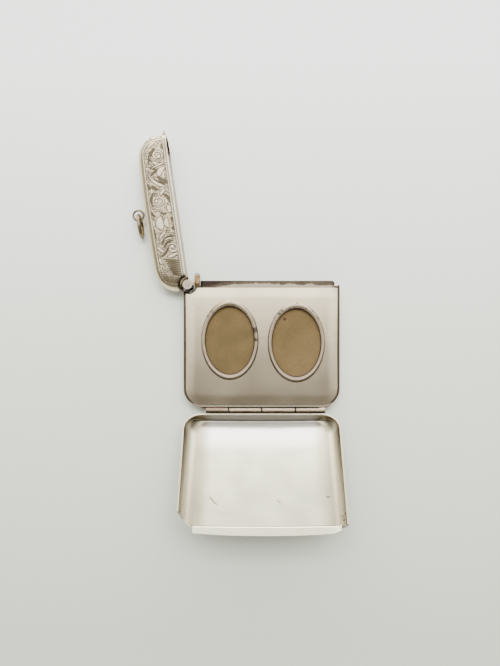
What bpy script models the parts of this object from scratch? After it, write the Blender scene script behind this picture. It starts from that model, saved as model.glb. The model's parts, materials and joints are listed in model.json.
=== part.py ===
"""Vesta case with a concealed double picture frame, lying open on its back.

X runs along the case's width, Y from its base towards its mouth, and Z out of its back.
The origin is the middle of the body's back. Every piece is modelled in the closed case,
and the lid, the front cover and the jump ring are then turned about their own axes.
"""

import math

import bmesh
import bpy
from mathutils import Matrix, Vector

MM = 0.001

# Sheets and clearances
sheet = 0.45 * MM
thin_sheet = 0.35 * MM
seat_gap = 0.12 * MM
rim_gap = 0.10 * MM
running_gap = 0.07 * MM
end_play = 0.08 * MM
overrun = 2.0 * MM

# The case's outside
case_width = 46.0 * MM
body_height = 35.9 * MM
body_depth = 6.95 * MM
cover_depth = 3.25 * MM
lid_height = 8.45 * MM
lid_bow = 0.7 * MM
front_crown = 0.4 * MM
base_corner = 5.3 * MM
lid_corner = 5.75 * MM
side_round_width = 4.8 * MM
side_round_depth = 3.0 * MM
base_round = 0.8 * MM
lid_top_round = 1.6 * MM

# The picture plate and its frames
plate_setback = 0.83 * MM
plate_drop = 0.45 * MM
plate_pillow_width = 3.2 * MM
plate_pillow_height = 0.4 * MM
plate_sheet = 0.40 * MM
plate_hinge_clearance = 2.35 * MM
left_frame_below_mouth = 16.3 * MM
right_frame_below_mouth = 17.0 * MM
frame_inner_height = 19.8 * MM
frame_band = 1.85 * MM
frame_rise = 0.65 * MM
card_overlap = 0.6 * MM
card_thickness = 0.30 * MM
backing_margin = 1.2 * MM
backing_corner = 2.0 * MM

# The mouth collar
collar_from_left = 4.8 * MM
collar_from_right = 1.2 * MM
collar_inside = 2.2 * MM
collar_stand = 0.95 * MM
collar_front_drop = 1.45 * MM
collar_round_width = 4.0 * MM
collar_round_depth = 2.6 * MM

# The striker on the base
striker_from_side = 8.0 * MM
striker_height = 2.0 * MM
striker_thickness = 0.30 * MM
striker_tooth = 0.75 * MM
striker_tooth_depth = 0.22 * MM
striker_from_back = 3.2 * MM

# The cover's hinge, along the base
cover_axis_below_base = 1.10 * MM
cover_knuckle_radius = 0.90 * MM
cover_pin_radius = 0.34 * MM
cover_open_angle = 139.0
bearer_end_angle = 32.0
bearer_tip = 0.20 * MM
bearer_height = 0.75 * MM
bearer_reach = 0.85 * MM

# The front cover
cover_end_gap = 0.10 * MM
notch_along_side = 4.1 * MM
notch_along_mouth = 4.4 * MM
lip_from_left = 4.3 * MM
lip_from_right = 1.6 * MM
lip_overlap = 0.7 * MM
lip_stand = 1.9 * MM

# The lid's hinge, through the thickness at the left of the mouth
lid_axis_from_side = 1.30 * MM
lid_knuckle_radius = 1.38 * MM
lid_pin_radius = 0.60 * MM
lid_knuckle_ends = (0.8 * MM, 3.0 * MM, 6.35 * MM, 9.6 * MM)
lid_pin_stand = 0.06 * MM
lid_hinge_clearance = 2.1 * MM
lid_open_angle = 98.3
hinge_lug_width = 0.85 * MM
hinge_lug_thickness = 0.55 * MM
hinge_lug_length = 2.1 * MM
hinge_lug_low_z = 4.6 * MM
hinge_tail_reach = 1.95 * MM
hinge_tail_height = 0.75 * MM

# The lid spring
spring_thickness = 0.35 * MM
spring_low_z = 3.2 * MM
spring_high_z = 5.45 * MM
spring_foot_below_mouth = 15.5 * MM
spring_bend_below_mouth = 9.5 * MM
spring_neck_below_mouth = 1.2 * MM
spring_head_from_side = 3.85 * MM
spring_head_width = 1.55 * MM
spring_head_stand = 3.7 * MM
rivet_radius = 0.70 * MM
rivet_rise = 0.35 * MM
rivet_spacing = 2.4 * MM

# The thumb lip, the loop and the jump ring
thumb_reach = 1.3 * MM
thumb_root = 1.0 * MM
thumb_tip = 0.25 * MM
thumb_length = 4.4 * MM
loop_radius = 1.52 * MM
loop_wire_radius = 0.33 * MM
loop_base_radius = 0.95 * MM
loop_base_rise = 0.40 * MM
ring_radius = 3.30 * MM
ring_wire_radius = 0.55 * MM
ring_centre_z = 4.05 * MM

# Shares of the sizes that they follow
crown_shares = (0.75, 0.45, 0.15)
frame_width_share = 0.311
left_frame_share = -0.204
right_frame_share = 0.223
cover_knuckle_shares = (-0.357, -0.212, 0.0, 0.216, 0.408)
loop_share = 0.02
spring_neck_share = 0.6

# Smoothness
corner_steps = 9
side_steps = 6
round_steps = 24
frame_steps = 56
ring_steps = 30
wire_steps = 12

# Places that follow from the sizes above
half_width = case_width / 2
frame_inner_width = frame_width_share * case_width
left_frame_x = left_frame_share * case_width
right_frame_x = right_frame_share * case_width
cover_knuckle_edges = [share * case_width for share in cover_knuckle_shares]
striker_length = case_width - 2 * striker_from_side
spring_head_x = spring_head_from_side - half_width
loop_x = loop_share * case_width
collar_left_x = collar_from_left - half_width
collar_right_x = half_width - collar_from_right
lip_left_x = lip_from_left - half_width
lip_right_x = half_width - lip_from_right
mouth_y = body_height / 2
base_y = -mouth_y
cover_rim_z = body_depth + rim_gap
front_z = cover_rim_z + cover_depth
plate_rim_z = body_depth - plate_drop
plate_top_z = plate_rim_z + plate_pillow_height
cover_axis = Vector((0, base_y - cover_axis_below_base, body_depth + rim_gap / 2))
lid_axis = Vector((lid_axis_from_side - half_width, mouth_y, 0))
lid_rim_y = mouth_y + rim_gap
lid_top_y = lid_rim_y + lid_height + lid_bow
loop_y = lid_top_y + loop_base_rise + 2 * seat_gap + loop_radius + loop_wire_radius
ring_drop = front_z / 2 - ring_centre_z
ring_offset = math.sqrt(ring_radius ** 2 - ring_drop ** 2)

MATERIALS = {
    "polished_silver": ((0.86, 0.85, 0.82), 0.16, 1.0),
    "satin_silver": ((0.72, 0.71, 0.69), 0.38, 1.0),
    "engraved_silver": ((0.76, 0.72, 0.65), 0.28, 1.0),
    "tarnished_silver": ((0.30, 0.24, 0.19), 0.40, 1.0),
    "brass": ((0.70, 0.52, 0.26), 0.32, 1.0),
    "brown_card": ((0.30, 0.24, 0.16), 0.85, 0.0),
}


def clear_scene():
    for old in list(bpy.data.objects):
        bpy.data.objects.remove(old)


def new_collection(name):
    collection = bpy.data.collections.new(name)
    bpy.context.scene.collection.children.link(collection)
    return collection


clear_scene()
case_parts = new_collection("vesta_case")
cutters = new_collection("cutters")


def material(name):
    found = bpy.data.materials.get(name)
    if found:
        return found
    colour, roughness, metallic = MATERIALS[name]
    made = bpy.data.materials.new(name)
    made.use_nodes = True
    shader = made.node_tree.nodes["Principled BSDF"]
    shader.inputs["Base Color"].default_value = (*colour, 1)
    shader.inputs["Roughness"].default_value = roughness
    shader.inputs["Metallic"].default_value = metallic
    made.diffuse_color = (*colour, 1)
    return made


def add_axis(name, place, turn=None, carrier=None):
    axis = bpy.data.objects.new(name, None)
    case_parts.objects.link(axis)
    axis.location = place - (carrier.location if carrier else Vector())
    axis.parent = carrier
    axis["rest_place"] = place
    if turn:
        axis.rotation_euler = turn
    return axis


def add_object(name, data, finish, axis=None):
    """A named sub-part. Its mesh is given in the closed case, and it turns with its axis."""
    part = bpy.data.objects.new(name, data)
    case_parts.objects.link(part)
    data.materials.append(material(finish))
    if axis:
        data.transform(Matrix.Translation(-Vector(axis["rest_place"])))
        part.parent = axis
    return part


def mesh_from(bm, name, smooth=True, outward=None):
    """The finished mesh. An open sheet is turned so that its outermost face that way looks that way."""
    mesh = bpy.data.meshes.new(name)
    bmesh.ops.recalc_face_normals(bm, faces=bm.faces)
    inside_out = bm.calc_volume(signed=True) < 0
    if outward:
        way = Vector(outward)
        outermost = max(bm.faces, key=lambda f: f.calc_center_median().dot(way))
        inside_out = outermost.normal.dot(way) < 0
    if inside_out:
        bmesh.ops.reverse_faces(bm, faces=bm.faces)
    bm.to_mesh(mesh)
    bm.free()
    if smooth:
        mesh.shade_smooth()
        mesh.set_sharp_from_angle(angle=math.radians(40))
    return mesh


def add_cutter(name, mesh, axis=None):
    cutter = add_object(name, mesh, "tarnished_silver", axis)
    case_parts.objects.unlink(cutter)
    cutters.objects.link(cutter)
    cutter.hide_render = True
    cutter.display_type = "WIRE"
    return cutter


def combine(part, other, operation):
    change = part.modifiers.new(other.name, "BOOLEAN")
    change.operation = operation
    change.solver = "EXACT"
    change.object = other


def thicken(part, thickness):
    """Gives an outside surface its sheet, inwards."""
    solidify = part.modifiers.new("sheet", "SOLIDIFY")
    solidify.thickness = thickness
    solidify.offset = -1
    solidify.use_even_offset = True


def round_corners(part, radius):
    """Rounds the upright corners of a plate."""
    bm = bmesh.new()
    bm.from_mesh(part.data)
    upright = [e for e in bm.edges if (e.verts[0].co - e.verts[1].co).xy.length < rim_gap]
    bmesh.ops.bevel(
        bm, geom=upright, offset=radius, offset_type="OFFSET",
        segments=corner_steps, profile=0.5, affect="EDGES", material=-1,
    )
    bm.to_mesh(part.data)
    bm.free()


def box_mesh(name, low, high):
    bm = bmesh.new()
    low, high = Vector(low), Vector(high)
    size = high - low
    bmesh.ops.create_cube(bm, size=1)
    bmesh.ops.scale(bm, vec=size, verts=bm.verts)
    bmesh.ops.translate(bm, vec=(low + high) / 2, verts=bm.verts)
    return mesh_from(bm, name, smooth=False)


def cylinder_mesh(name, radius, low, high, steps=round_steps):
    """A cylinder along Z."""
    bm = bmesh.new()
    bmesh.ops.create_cone(
        bm, cap_ends=True, segments=steps, radius1=radius, radius2=radius, depth=high - low
    )
    bmesh.ops.translate(bm, vec=(0, 0, (low + high) / 2), verts=bm.verts)
    return mesh_from(bm, name)


def place_mesh(mesh, matrix):
    mesh.transform(matrix)
    return mesh


def along_x():
    """Turns what was made along Z to lie along X."""
    return Matrix.Rotation(math.radians(90), 4, "Y")


def turned_mesh(name, profile, steps):
    """A closed ring: the profile, a loop of (radius, height), spun about Z."""
    bm = bmesh.new()
    verts = [bm.verts.new((radius, 0, height)) for radius, height in profile]
    edges = [bm.edges.new((a, b)) for a, b in zip(verts, verts[1:] + verts[:1])]
    bmesh.ops.spin(
        bm, geom=verts + edges, cent=(0, 0, 0), axis=(0, 0, 1),
        angle=math.tau, steps=steps, use_merge=True,
    )
    bmesh.ops.remove_doubles(bm, verts=bm.verts, dist=rim_gap / 100)
    return mesh_from(bm, name)


def tube_profile(inner, outer, low, high):
    return [(outer, high), (outer, low), (inner, low), (inner, high)]


def outline_mesh(name, points, low, high):
    """A flat outline in XY, given its thickness from low to high along Z."""
    curve = bpy.data.curves.new(name, "CURVE")
    curve.dimensions = "2D"
    curve.fill_mode = "BOTH"
    curve.extrude = (high - low) / 2
    spline = curve.splines.new("POLY")
    spline.points.add(len(points) - 1)
    for point, (x, y) in zip(spline.points, points):
        point.co = (x, y, 0, 1)
    spline.use_cyclic_u = True
    holder = bpy.data.objects.new(name, curve)
    case_parts.objects.link(holder)
    graph = bpy.context.evaluated_depsgraph_get()
    mesh = bpy.data.meshes.new_from_object(holder.evaluated_get(graph))
    bpy.data.objects.remove(holder)
    bm = bmesh.new()
    bm.from_mesh(mesh)
    bmesh.ops.remove_doubles(bm, verts=bm.verts, dist=rim_gap / 100)
    bmesh.ops.translate(bm, vec=(0, 0, (low + high) / 2), verts=bm.verts)
    return mesh_from(bm, name, smooth=False)


def crown_at(x, half, crown):
    return crown * (1 - (x / half) ** 2)


def side_section(half, depth, crown, inset=0.0):
    """Half of a tray's section, from the rim down to its middle, as (x, height above the floor)."""
    wide = side_round_width - inset
    deep = side_round_depth - inset
    points = [(half, depth)]
    for step in range(side_steps + 1):
        angle = math.radians(90) * step / side_steps
        points.append((half - wide * (1 - math.cos(angle)), deep * (1 - math.sin(angle))))
    flat = half - wide
    points += [(flat * share, 0.0) for share in crown_shares]
    return [(x, z - crown_at(x, half, crown) * (1 - z / depth)) for x, z in points]


def whole_section(half, depth, crown, inset=0.0):
    right = side_section(half, depth, crown, inset)
    left = [(-x, z) for x, z in reversed(right)]
    return right + left


def plan_slices(half, corner, edge_round, depth):
    """Slices towards the closed end, as (distance from that end, share of the width, share of the depth)."""
    slices = []
    for step in range(corner_steps + 1):
        angle = math.radians(90) * step / corner_steps
        distance = corner * (1 - math.sin(angle))
        width = 1 - corner * (1 - math.cos(angle)) / half
        lift = max(0.0, 1 - distance / edge_round)
        fall = edge_round * (1 - math.sqrt(1 - lift ** 2)) / depth
        slices.append((distance, width, 1 - fall))
    return slices


def wrapped_grid(columns, rows, place):
    """A grid of faces whose corner in column i and row j is put at place(i, j)."""
    bm = bmesh.new()
    bmesh.ops.create_grid(bm, x_segments=columns - 1, y_segments=rows - 1, size=1)
    first_row = [None] * columns
    for vert in bm.verts:
        column = round((vert.co.x + 1) / 2 * (columns - 1))
        row = round((vert.co.y + 1) / 2 * (rows - 1))
        vert.co = place(column, row)
        if row == 0:
            first_row[column] = vert
    return bm, first_row


def tray_mesh(name, low_y, high_y, section, corner, edge_round, rim, up):
    """A pressed tray: its section runs from the mouth to a closed lower end with round corners.

    The rim lies at height rim, and the floor is on its side: below when up is 1, above when up is -1."""
    half = max(x for x, z in section)
    depth = max(z for x, z in section)
    rows = plan_slices(half, corner, edge_round, depth)[::-1] + [(high_y - low_y, 1, 1)]

    def place(column, row):
        x, z = section[column]
        distance, width, share = rows[row]
        return (x * width, low_y + distance, rim - up * (depth - z) * share)

    bm, closed_end = wrapped_grid(len(section), len(rows), place)
    bm.faces.new(closed_end)
    return mesh_from(bm, name, outward=(0, 0, -up))


def cap_mesh(name, low_y, height, section, corner, top_round, bow):
    """The lid: a closed section that runs from its open rim to a bowed top with round corners."""
    half = max(x for x, z in section)
    low = min(z for x, z in section)
    middle = (max(z for x, z in section) + low) / 2
    slices = plan_slices(half, corner, top_round, middle - low)[::-1] + [(height, 1, 1)]
    loop = section + section[:1]

    def place(column, row):
        x, z = loop[column]
        distance, width, share = slices[row]
        up = height - distance
        x *= width
        y = low_y + up + bow * (1 - (x / half) ** 2) * up / height
        return (x, y, middle + (z - middle) * share)

    bm, closed_end = wrapped_grid(len(loop), len(slices), place)
    bmesh.ops.remove_doubles(bm, verts=bm.verts, dist=rim_gap / 100)
    top = [v for v in closed_end if v.is_valid]
    end_edges = {e for v in top for e in v.link_edges if e.is_boundary}
    bmesh.ops.contextual_create(bm, geom=list(end_edges))
    return mesh_from(bm, name, outward=(0, 1, 0))


def hinge_clearance(name, radius, axis=None):
    """Cuts a round space about the lid's axis, through the whole thickness."""
    mesh = cylinder_mesh(name, radius, -overrun, front_z + overrun)
    place_mesh(mesh, Matrix.Translation(lid_axis))
    return add_cutter(name, mesh, axis)


def ellipse_mesh(name, centre, width, height, low, high, steps=frame_steps):
    mesh = cylinder_mesh(name, width / 2, low, high, steps)
    stretch = Matrix.Diagonal((1, height / width, 1, 1))
    return place_mesh(mesh, Matrix.Translation(centre) @ stretch)


def frame_centre(x, below_mouth):
    return Vector((x, mouth_y - below_mouth, 0))


FRAMES = {
    "left": frame_centre(left_frame_x, left_frame_below_mouth),
    "right": frame_centre(right_frame_x, right_frame_below_mouth),
}


def make_back_shell():
    section = whole_section(half_width, body_depth, 0)
    mesh = tray_mesh("back_shell", base_y, mouth_y, section, base_corner, base_round, body_depth, 1)
    shell = add_object("back_shell", mesh, "engraved_silver")
    thicken(shell, sheet)
    combine(shell, hinge_clearance("back_clearance_cutter", lid_hinge_clearance), "DIFFERENCE")


def pillow_share(distance):
    """How much of its full height the plate has reached, this far in from its edge."""
    return math.sin(math.radians(90) * min(1, distance / plate_pillow_width))


def plate_mesh():
    reach = half_width - sheet - seat_gap
    low_y = base_y + sheet + seat_gap
    height = mouth_y - plate_setback - low_y
    corner = base_corner - sheet - seat_gap
    ramp = [plate_pillow_width * step / side_steps for step in range(side_steps + 1)]
    across = [distance - reach for distance in ramp]
    across += [-x for x in reversed(across)]
    rows = [(distance, width) for distance, width, share in plan_slices(reach, corner, base_round, 1)]
    rows = rows[::-1] + [(height - distance, 1) for distance in reversed(ramp)]

    def place(column, row):
        x = across[column]
        distance, width = rows[row]
        share = pillow_share(reach - abs(x)) * pillow_share(min(distance, height - distance))
        return (x * width, low_y + distance, plate_rim_z + plate_pillow_height * share)

    bm, first_row = wrapped_grid(len(across), len(rows), place)
    return mesh_from(bm, "picture_plate", outward=(0, 0, 1))


def make_picture_plate():
    plate = add_object("picture_plate", plate_mesh(), "satin_silver")
    thicken(plate, plate_sheet)
    for side, centre in FRAMES.items():
        name = side + "_window_cutter"
        width = frame_inner_width + frame_band / 2
        height = frame_inner_height + frame_band / 2
        window = ellipse_mesh(name, centre, width, height, plate_rim_z - overrun, plate_top_z + overrun)
        combine(plate, add_cutter(name, window), "DIFFERENCE")
    combine(plate, hinge_clearance("plate_clearance_cutter", plate_hinge_clearance), "DIFFERENCE")


def make_frames():
    """Each frame: a raised oval bezel on the plate and a brown card behind it."""
    inner = frame_inner_height / 2
    outer = inner + frame_band
    low = plate_top_z + seat_gap
    high = low + frame_rise
    step = frame_band / 4
    profile = [
        (outer, low), (inner, low), (inner, high - step), (inner + step / 2, high - step / 2),
        (outer - step, high), (outer - step / 3, high - step / 3), (outer, high - step),
    ]
    squeeze = frame_inner_width / frame_inner_height
    card_top = plate_top_z - plate_sheet - seat_gap
    for side, centre in FRAMES.items():
        ring = turned_mesh(side + "_bezel", profile, frame_steps)
        place_mesh(ring, Matrix.Translation(centre) @ Matrix.Diagonal((squeeze, 1, 1, 1)))
        add_object(side + "_bezel", ring, "polished_silver")
        width = frame_inner_width + 2 * card_overlap
        height = frame_inner_height + 2 * card_overlap
        card = ellipse_mesh(side + "_card", centre, width, height, card_top - card_thickness, card_top)
        add_object(side + "_card", card, "brown_card")


def backing_top():
    return plate_top_z - plate_sheet - card_thickness - 2 * seat_gap


def make_backing_plate():
    reach = frame_inner_width / 2 + card_overlap + backing_margin
    rise = frame_inner_height / 2 + card_overlap + backing_margin
    places = list(FRAMES.values())
    low = (min(c.x for c in places) - reach, min(c.y for c in places) - rise)
    high = (max(c.x for c in places) + reach, max(c.y for c in places) + rise)
    mesh = box_mesh("backing_plate", (*low, backing_top() - thin_sheet), (*high, backing_top()))
    plate = add_object("backing_plate", mesh, "satin_silver")
    round_corners(plate, backing_corner)


def make_mouth_collar():
    """The band in the mouth: a flattened tube whose back corners follow the shell's round sides."""
    low_z = sheet + seat_gap
    high_z = body_depth - collar_front_drop
    stretch = collar_round_width / collar_round_depth
    bm = bmesh.new()
    bmesh.ops.create_cube(bm, size=1)
    size = (collar_right_x - collar_left_x, collar_inside + collar_stand, (high_z - low_z) * stretch)
    bmesh.ops.scale(bm, vec=size, verts=bm.verts)
    for side, radius in ((-1, collar_round_width), (1, collar_round_depth / 2)):
        long_edges = [e for e in bm.edges if all(v.co.z * side > 0 for v in e.verts)]
        long_edges = [e for e in long_edges if abs(e.verts[0].co.x - e.verts[1].co.x) < seat_gap]
        bmesh.ops.bevel(
            bm, geom=long_edges, offset=radius, offset_type="OFFSET",
            segments=side_steps, profile=0.5, affect="EDGES", material=-1,
        )
    ends = [f for f in bm.faces if abs(f.normal.y) > 0.9]
    bmesh.ops.delete(bm, geom=ends, context="FACES")
    bmesh.ops.scale(bm, vec=(1, 1, 1 / stretch), verts=bm.verts)
    middle_y = mouth_y + (collar_stand - collar_inside) / 2
    middle = ((collar_left_x + collar_right_x) / 2, middle_y, (low_z + high_z) / 2)
    bmesh.ops.translate(bm, vec=middle, verts=bm.verts)
    collar = add_object("mouth_collar", mesh_from(bm, "mouth_collar", outward=(0, 0, 1)), "tarnished_silver")
    thicken(collar, thin_sheet)


def make_striker():
    """A serrated strip on the base, drawn in XY and thickened along the case's depth."""
    back = base_y - seat_gap
    front = back - striker_thickness
    teeth = round(striker_length / striker_tooth)
    start = -teeth * striker_tooth / 2
    points = [(start, back), (start, front)]
    for tooth in range(teeth):
        x = start + tooth * striker_tooth
        points.append((x + striker_tooth / 2, front - striker_tooth_depth))
        points.append((x + striker_tooth, front))
    points.append((-start, back))
    mesh = outline_mesh("striker_plate", points, striker_from_back, striker_from_back + striker_height)
    add_object("striker_plate", mesh, "satin_silver")


def make_cover_hinge():
    """Four knuckles in turn on the body and the cover, their pin and the body's bearer."""
    bore = cover_pin_radius + running_gap
    names = ("body_knuckle_left", "cover_knuckle_left", "body_knuckle_right", "cover_knuckle_right")
    for number, name in enumerate(names):
        low = cover_knuckle_edges[number] + end_play / 2
        high = cover_knuckle_edges[number + 1] - end_play / 2
        mesh = turned_mesh(name, tube_profile(bore, cover_knuckle_radius, low, high), round_steps)
        place_mesh(mesh, Matrix.Translation(cover_axis) @ along_x())
        add_object(name, mesh, "polished_silver", cover_turn if name.startswith("cover") else None)
    pin = cylinder_mesh(
        "cover_hinge_pin", cover_pin_radius,
        cover_knuckle_edges[0] - end_play, cover_knuckle_edges[-1] + end_play,
    )
    place_mesh(pin, Matrix.Translation(cover_axis) @ along_x())
    add_object("cover_hinge_pin", pin, "satin_silver")
    make_bearer()


def make_bearer():
    """The tapered strip on the base, round its corners, that carries the body's knuckles."""
    centre = Vector((half_width - base_corner, base_y + base_corner))

    def round_corner(turn, stand):
        radius = base_corner + seat_gap + stand
        turn = math.radians(turn)
        return (centre.x + radius * math.sin(turn), centre.y - radius * math.cos(turn))

    arc = [round_corner(bearer_end_angle * step / side_steps, 0) for step in range(side_steps + 1)]
    arc.append(round_corner(bearer_end_angle, bearer_tip))
    wall = [(-x, y) for x, y in reversed(arc)] + arc
    edge_y = base_y - seat_gap - bearer_reach
    edge = [(cover_knuckle_edges[-1], edge_y), (cover_knuckle_edges[0], edge_y)]
    high = cover_axis.z - cover_knuckle_radius - seat_gap
    mesh = outline_mesh("cover_hinge_bearer", wall + edge, high - bearer_height, high)
    add_object("cover_hinge_bearer", mesh, "polished_silver")


def make_front_cover():
    section = whole_section(half_width, cover_depth, front_crown)
    high_y = mouth_y - cover_end_gap
    mesh = tray_mesh("front_cover", base_y, high_y, section, base_corner, base_round, cover_rim_z, -1)
    cover = add_object("front_cover", mesh, "polished_silver", cover_turn)
    thicken(cover, sheet)
    corner_x = -half_width
    points = [
        (corner_x - overrun, mouth_y - notch_along_side - overrun * notch_along_side / notch_along_mouth),
        (corner_x + notch_along_mouth + overrun, mouth_y + overrun * notch_along_side / notch_along_mouth),
        (corner_x - overrun, mouth_y + overrun),
    ]
    notch = outline_mesh("notch_cutter", points, cover_rim_z - overrun, front_z + overrun)
    combine(cover, add_cutter("notch_cutter", notch, cover_turn), "DIFFERENCE")


def inner_front_z(x, inset):
    """Height of the surface that lies inset inside the front, at x."""
    half = half_width - inset
    wide = side_round_width - inset
    deep = side_round_depth - inset
    past = max(0.0, abs(x) - (half - wide)) / wide
    drop = deep * (1 - math.sqrt(max(0.0, 1 - past ** 2)))
    return front_z - inset - drop + crown_at(x, half_width, front_crown) * (1 - drop / cover_depth)


def make_cover_lip():
    """The strip inside the cover's free end, which stands past it under the lid."""
    low_y = mouth_y - cover_end_gap - lip_overlap
    high_y = mouth_y + lip_stand
    columns = round_steps + 1
    inset = sheet + seat_gap

    def place(column, row):
        x = lip_left_x + (lip_right_x - lip_left_x) * column / (columns - 1)
        return (x, high_y if row else low_y, inner_front_z(x, inset))

    bm, first_row = wrapped_grid(columns, 2, place)
    mesh = mesh_from(bm, "cover_lip", outward=(0, 0, 1))
    lip = add_object("cover_lip", mesh, "polished_silver", cover_turn)
    thicken(lip, thin_sheet)


def make_lid_shell():
    back = whole_section(half_width, side_round_depth, 0)
    front = whole_section(half_width, side_round_depth, front_crown)
    loop = back + [(x, front_z - z) for x, z in reversed(front)]
    mesh = cap_mesh("lid_shell", lid_rim_y, lid_height, loop, lid_corner, lid_top_round, lid_bow)
    lid = add_object("lid_shell", mesh, "engraved_silver", lid_turn)
    thicken(lid, sheet)
    cutter = hinge_clearance("lid_clearance_cutter", lid_hinge_clearance, lid_turn)
    combine(lid, cutter, "DIFFERENCE")


def make_lid_hinge():
    """Back and front knuckles on the body, the middle one on the lid, and their pin."""
    bore = lid_pin_radius + running_gap
    names = ("lid_back_knuckle", "lid_middle_knuckle", "lid_front_knuckle")
    knuckles = {}
    for number, name in enumerate(names):
        low = lid_knuckle_ends[number] + end_play / 2
        high = lid_knuckle_ends[number + 1] - end_play / 2
        mesh = turned_mesh(name, tube_profile(bore, lid_knuckle_radius, low, high), round_steps)
        place_mesh(mesh, Matrix.Translation(lid_axis))
        carrier = lid_turn if name == "lid_middle_knuckle" else None
        knuckles[name] = add_object(name, mesh, "polished_silver", carrier)
    add_knuckle_lugs(knuckles)
    pin = cylinder_mesh(
        "lid_hinge_pin", lid_pin_radius,
        lid_knuckle_ends[0] - lid_pin_stand, lid_knuckle_ends[-1] + lid_pin_stand,
    )
    place_mesh(pin, Matrix.Translation(lid_axis))
    add_object("lid_hinge_pin", pin, "satin_silver")


def add_knuckle_lugs(knuckles):
    """Blocks joined to the knuckles, which fasten them to the walls beside them."""
    wall_x = sheet + seat_gap - half_width
    back_end, middle_low, middle_high, front_end = lid_knuckle_ends
    inner_x = wall_x + hinge_lug_width
    clear_y = lid_axis.y - lid_knuckle_radius - 2 * end_play
    low_y = clear_y - hinge_lug_length
    under_plate_z = plate_rim_z - plate_sheet - seat_gap
    ring_y = lid_axis.y - lid_knuckle_radius / 2
    ring_top_y = lid_axis.y + lid_knuckle_radius / 2
    middle_x = lid_axis.x - end_play
    back_z = middle_low - end_play
    front_low_z = middle_high + end_play
    upright_low_y = clear_y - hinge_lug_thickness
    shoulder_z = front_low_z + hinge_lug_thickness
    tail_x = lid_axis.x + hinge_tail_reach
    tail_y = lid_axis.y + hinge_tail_height
    strap_top_y = lid_axis.y + lid_knuckle_radius + hinge_lug_length
    blocks = (
        ("back", "lug", (wall_x, low_y, back_z - hinge_lug_thickness), (inner_x, ring_y, back_z)),
        ("front", "shoulder", (wall_x, upright_low_y, front_low_z), (inner_x, ring_y, shoulder_z)),
        ("front", "upright", (wall_x, upright_low_y, hinge_lug_low_z), (inner_x, clear_y, shoulder_z)),
        ("front", "strap", (wall_x, low_y, hinge_lug_low_z), (inner_x, clear_y - end_play, under_plate_z)),
        ("front", "tail", (lid_axis.x + lid_knuckle_radius / 2, lid_axis.y - seat_gap, front_low_z),
         (tail_x, tail_y, front_end - hinge_lug_thickness)),
        ("middle", "strap", (wall_x, ring_top_y, middle_low + 2 * end_play),
         (middle_x, strap_top_y, middle_high - 2 * end_play)),
    )
    for place, form, low, high in blocks:
        knuckle = knuckles[f"lid_{place}_knuckle"]
        carrier = lid_turn if place == "middle" else None
        block = add_cutter(f"{place}_{form}", box_mesh(form, low, high), carrier)
        combine(knuckle, block, "UNION")


def make_lid_spring():
    """A leaf riveted inside the left wall, its neck and head standing out of the mouth beside the collar."""
    foot_x = sheet + seat_gap + spring_thickness / 2 - half_width
    neck_width = spring_head_width * spring_neck_share
    stations = (
        (foot_x, -spring_foot_below_mouth, spring_thickness),
        (foot_x, -spring_bend_below_mouth, spring_thickness),
        (spring_head_x, -2 * spring_neck_below_mouth, spring_thickness),
        (spring_head_x, -spring_neck_below_mouth, neck_width),
        (spring_head_x, spring_head_stand - 2 * spring_head_width, neck_width),
        (spring_head_x, spring_head_stand - spring_head_width, spring_head_width),
        (spring_head_x, spring_head_stand - spring_thickness, spring_head_width),
        (spring_head_x, spring_head_stand, neck_width),
    )
    right = [(x + width / 2, mouth_y + rise) for x, rise, width in stations]
    left = [(x - width / 2, mouth_y + rise) for x, rise, width in reversed(stations)]
    mesh = outline_mesh("lid_spring", right + left, spring_low_z, spring_high_z)
    add_object("lid_spring", mesh, "brass")
    make_spring_rivets(foot_x + spring_thickness / 2 + seat_gap)


def dome_mesh(name, radius, rise):
    bm = bmesh.new()
    bmesh.ops.create_uvsphere(bm, u_segments=round_steps, v_segments=2 * side_steps, radius=radius)
    lower = [v for v in bm.verts if v.co.z < -rise / side_steps]
    bmesh.ops.delete(bm, geom=lower, context="VERTS")
    rim = [e for e in bm.edges if e.is_boundary]
    bmesh.ops.contextual_create(bm, geom=rim)
    bmesh.ops.scale(bm, vec=(1, 1, rise / radius), verts=bm.verts)
    return mesh_from(bm, name)


def make_spring_rivets(seat_x):
    middle_y = mouth_y - (spring_foot_below_mouth + spring_bend_below_mouth) / 2
    for name, side in (("spring_rivet_upper", 1), ("spring_rivet_lower", -1)):
        place = Vector((seat_x, middle_y + side * rivet_spacing / 2, (spring_low_z + spring_high_z) / 2))
        mesh = dome_mesh(name, rivet_radius, rivet_rise)
        place_mesh(mesh, Matrix.Translation(place) @ along_x())
        add_object(name, mesh, "polished_silver")


def make_thumb_lip():
    """The small wedge on the lid's free end, at its rim, that a nail lifts."""
    wall = half_width + seat_gap
    points = [
        (wall, lid_rim_y),
        (wall + thumb_reach, lid_rim_y + thumb_tip),
        (wall + thumb_reach, lid_rim_y + 2 * thumb_tip),
        (wall + thumb_reach / 2, lid_rim_y + thumb_root / 2 + thumb_tip),
        (wall, lid_rim_y + thumb_root),
    ]
    low = (front_z - thumb_length) / 2
    mesh = outline_mesh("thumb_lip", points, low, low + thumb_length)
    add_object("thumb_lip", mesh, "polished_silver", lid_turn)


def along_y():
    """Turns what was made along Z to lie along Y."""
    return Matrix.Rotation(math.radians(-90), 4, "X")


def ring_mesh(name, radius, wire, steps):
    section = [math.tau * step / wire_steps for step in range(wire_steps)]
    profile = [(radius + wire * math.cos(angle), wire * math.sin(angle)) for angle in section]
    return turned_mesh(name, profile, steps)


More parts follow.
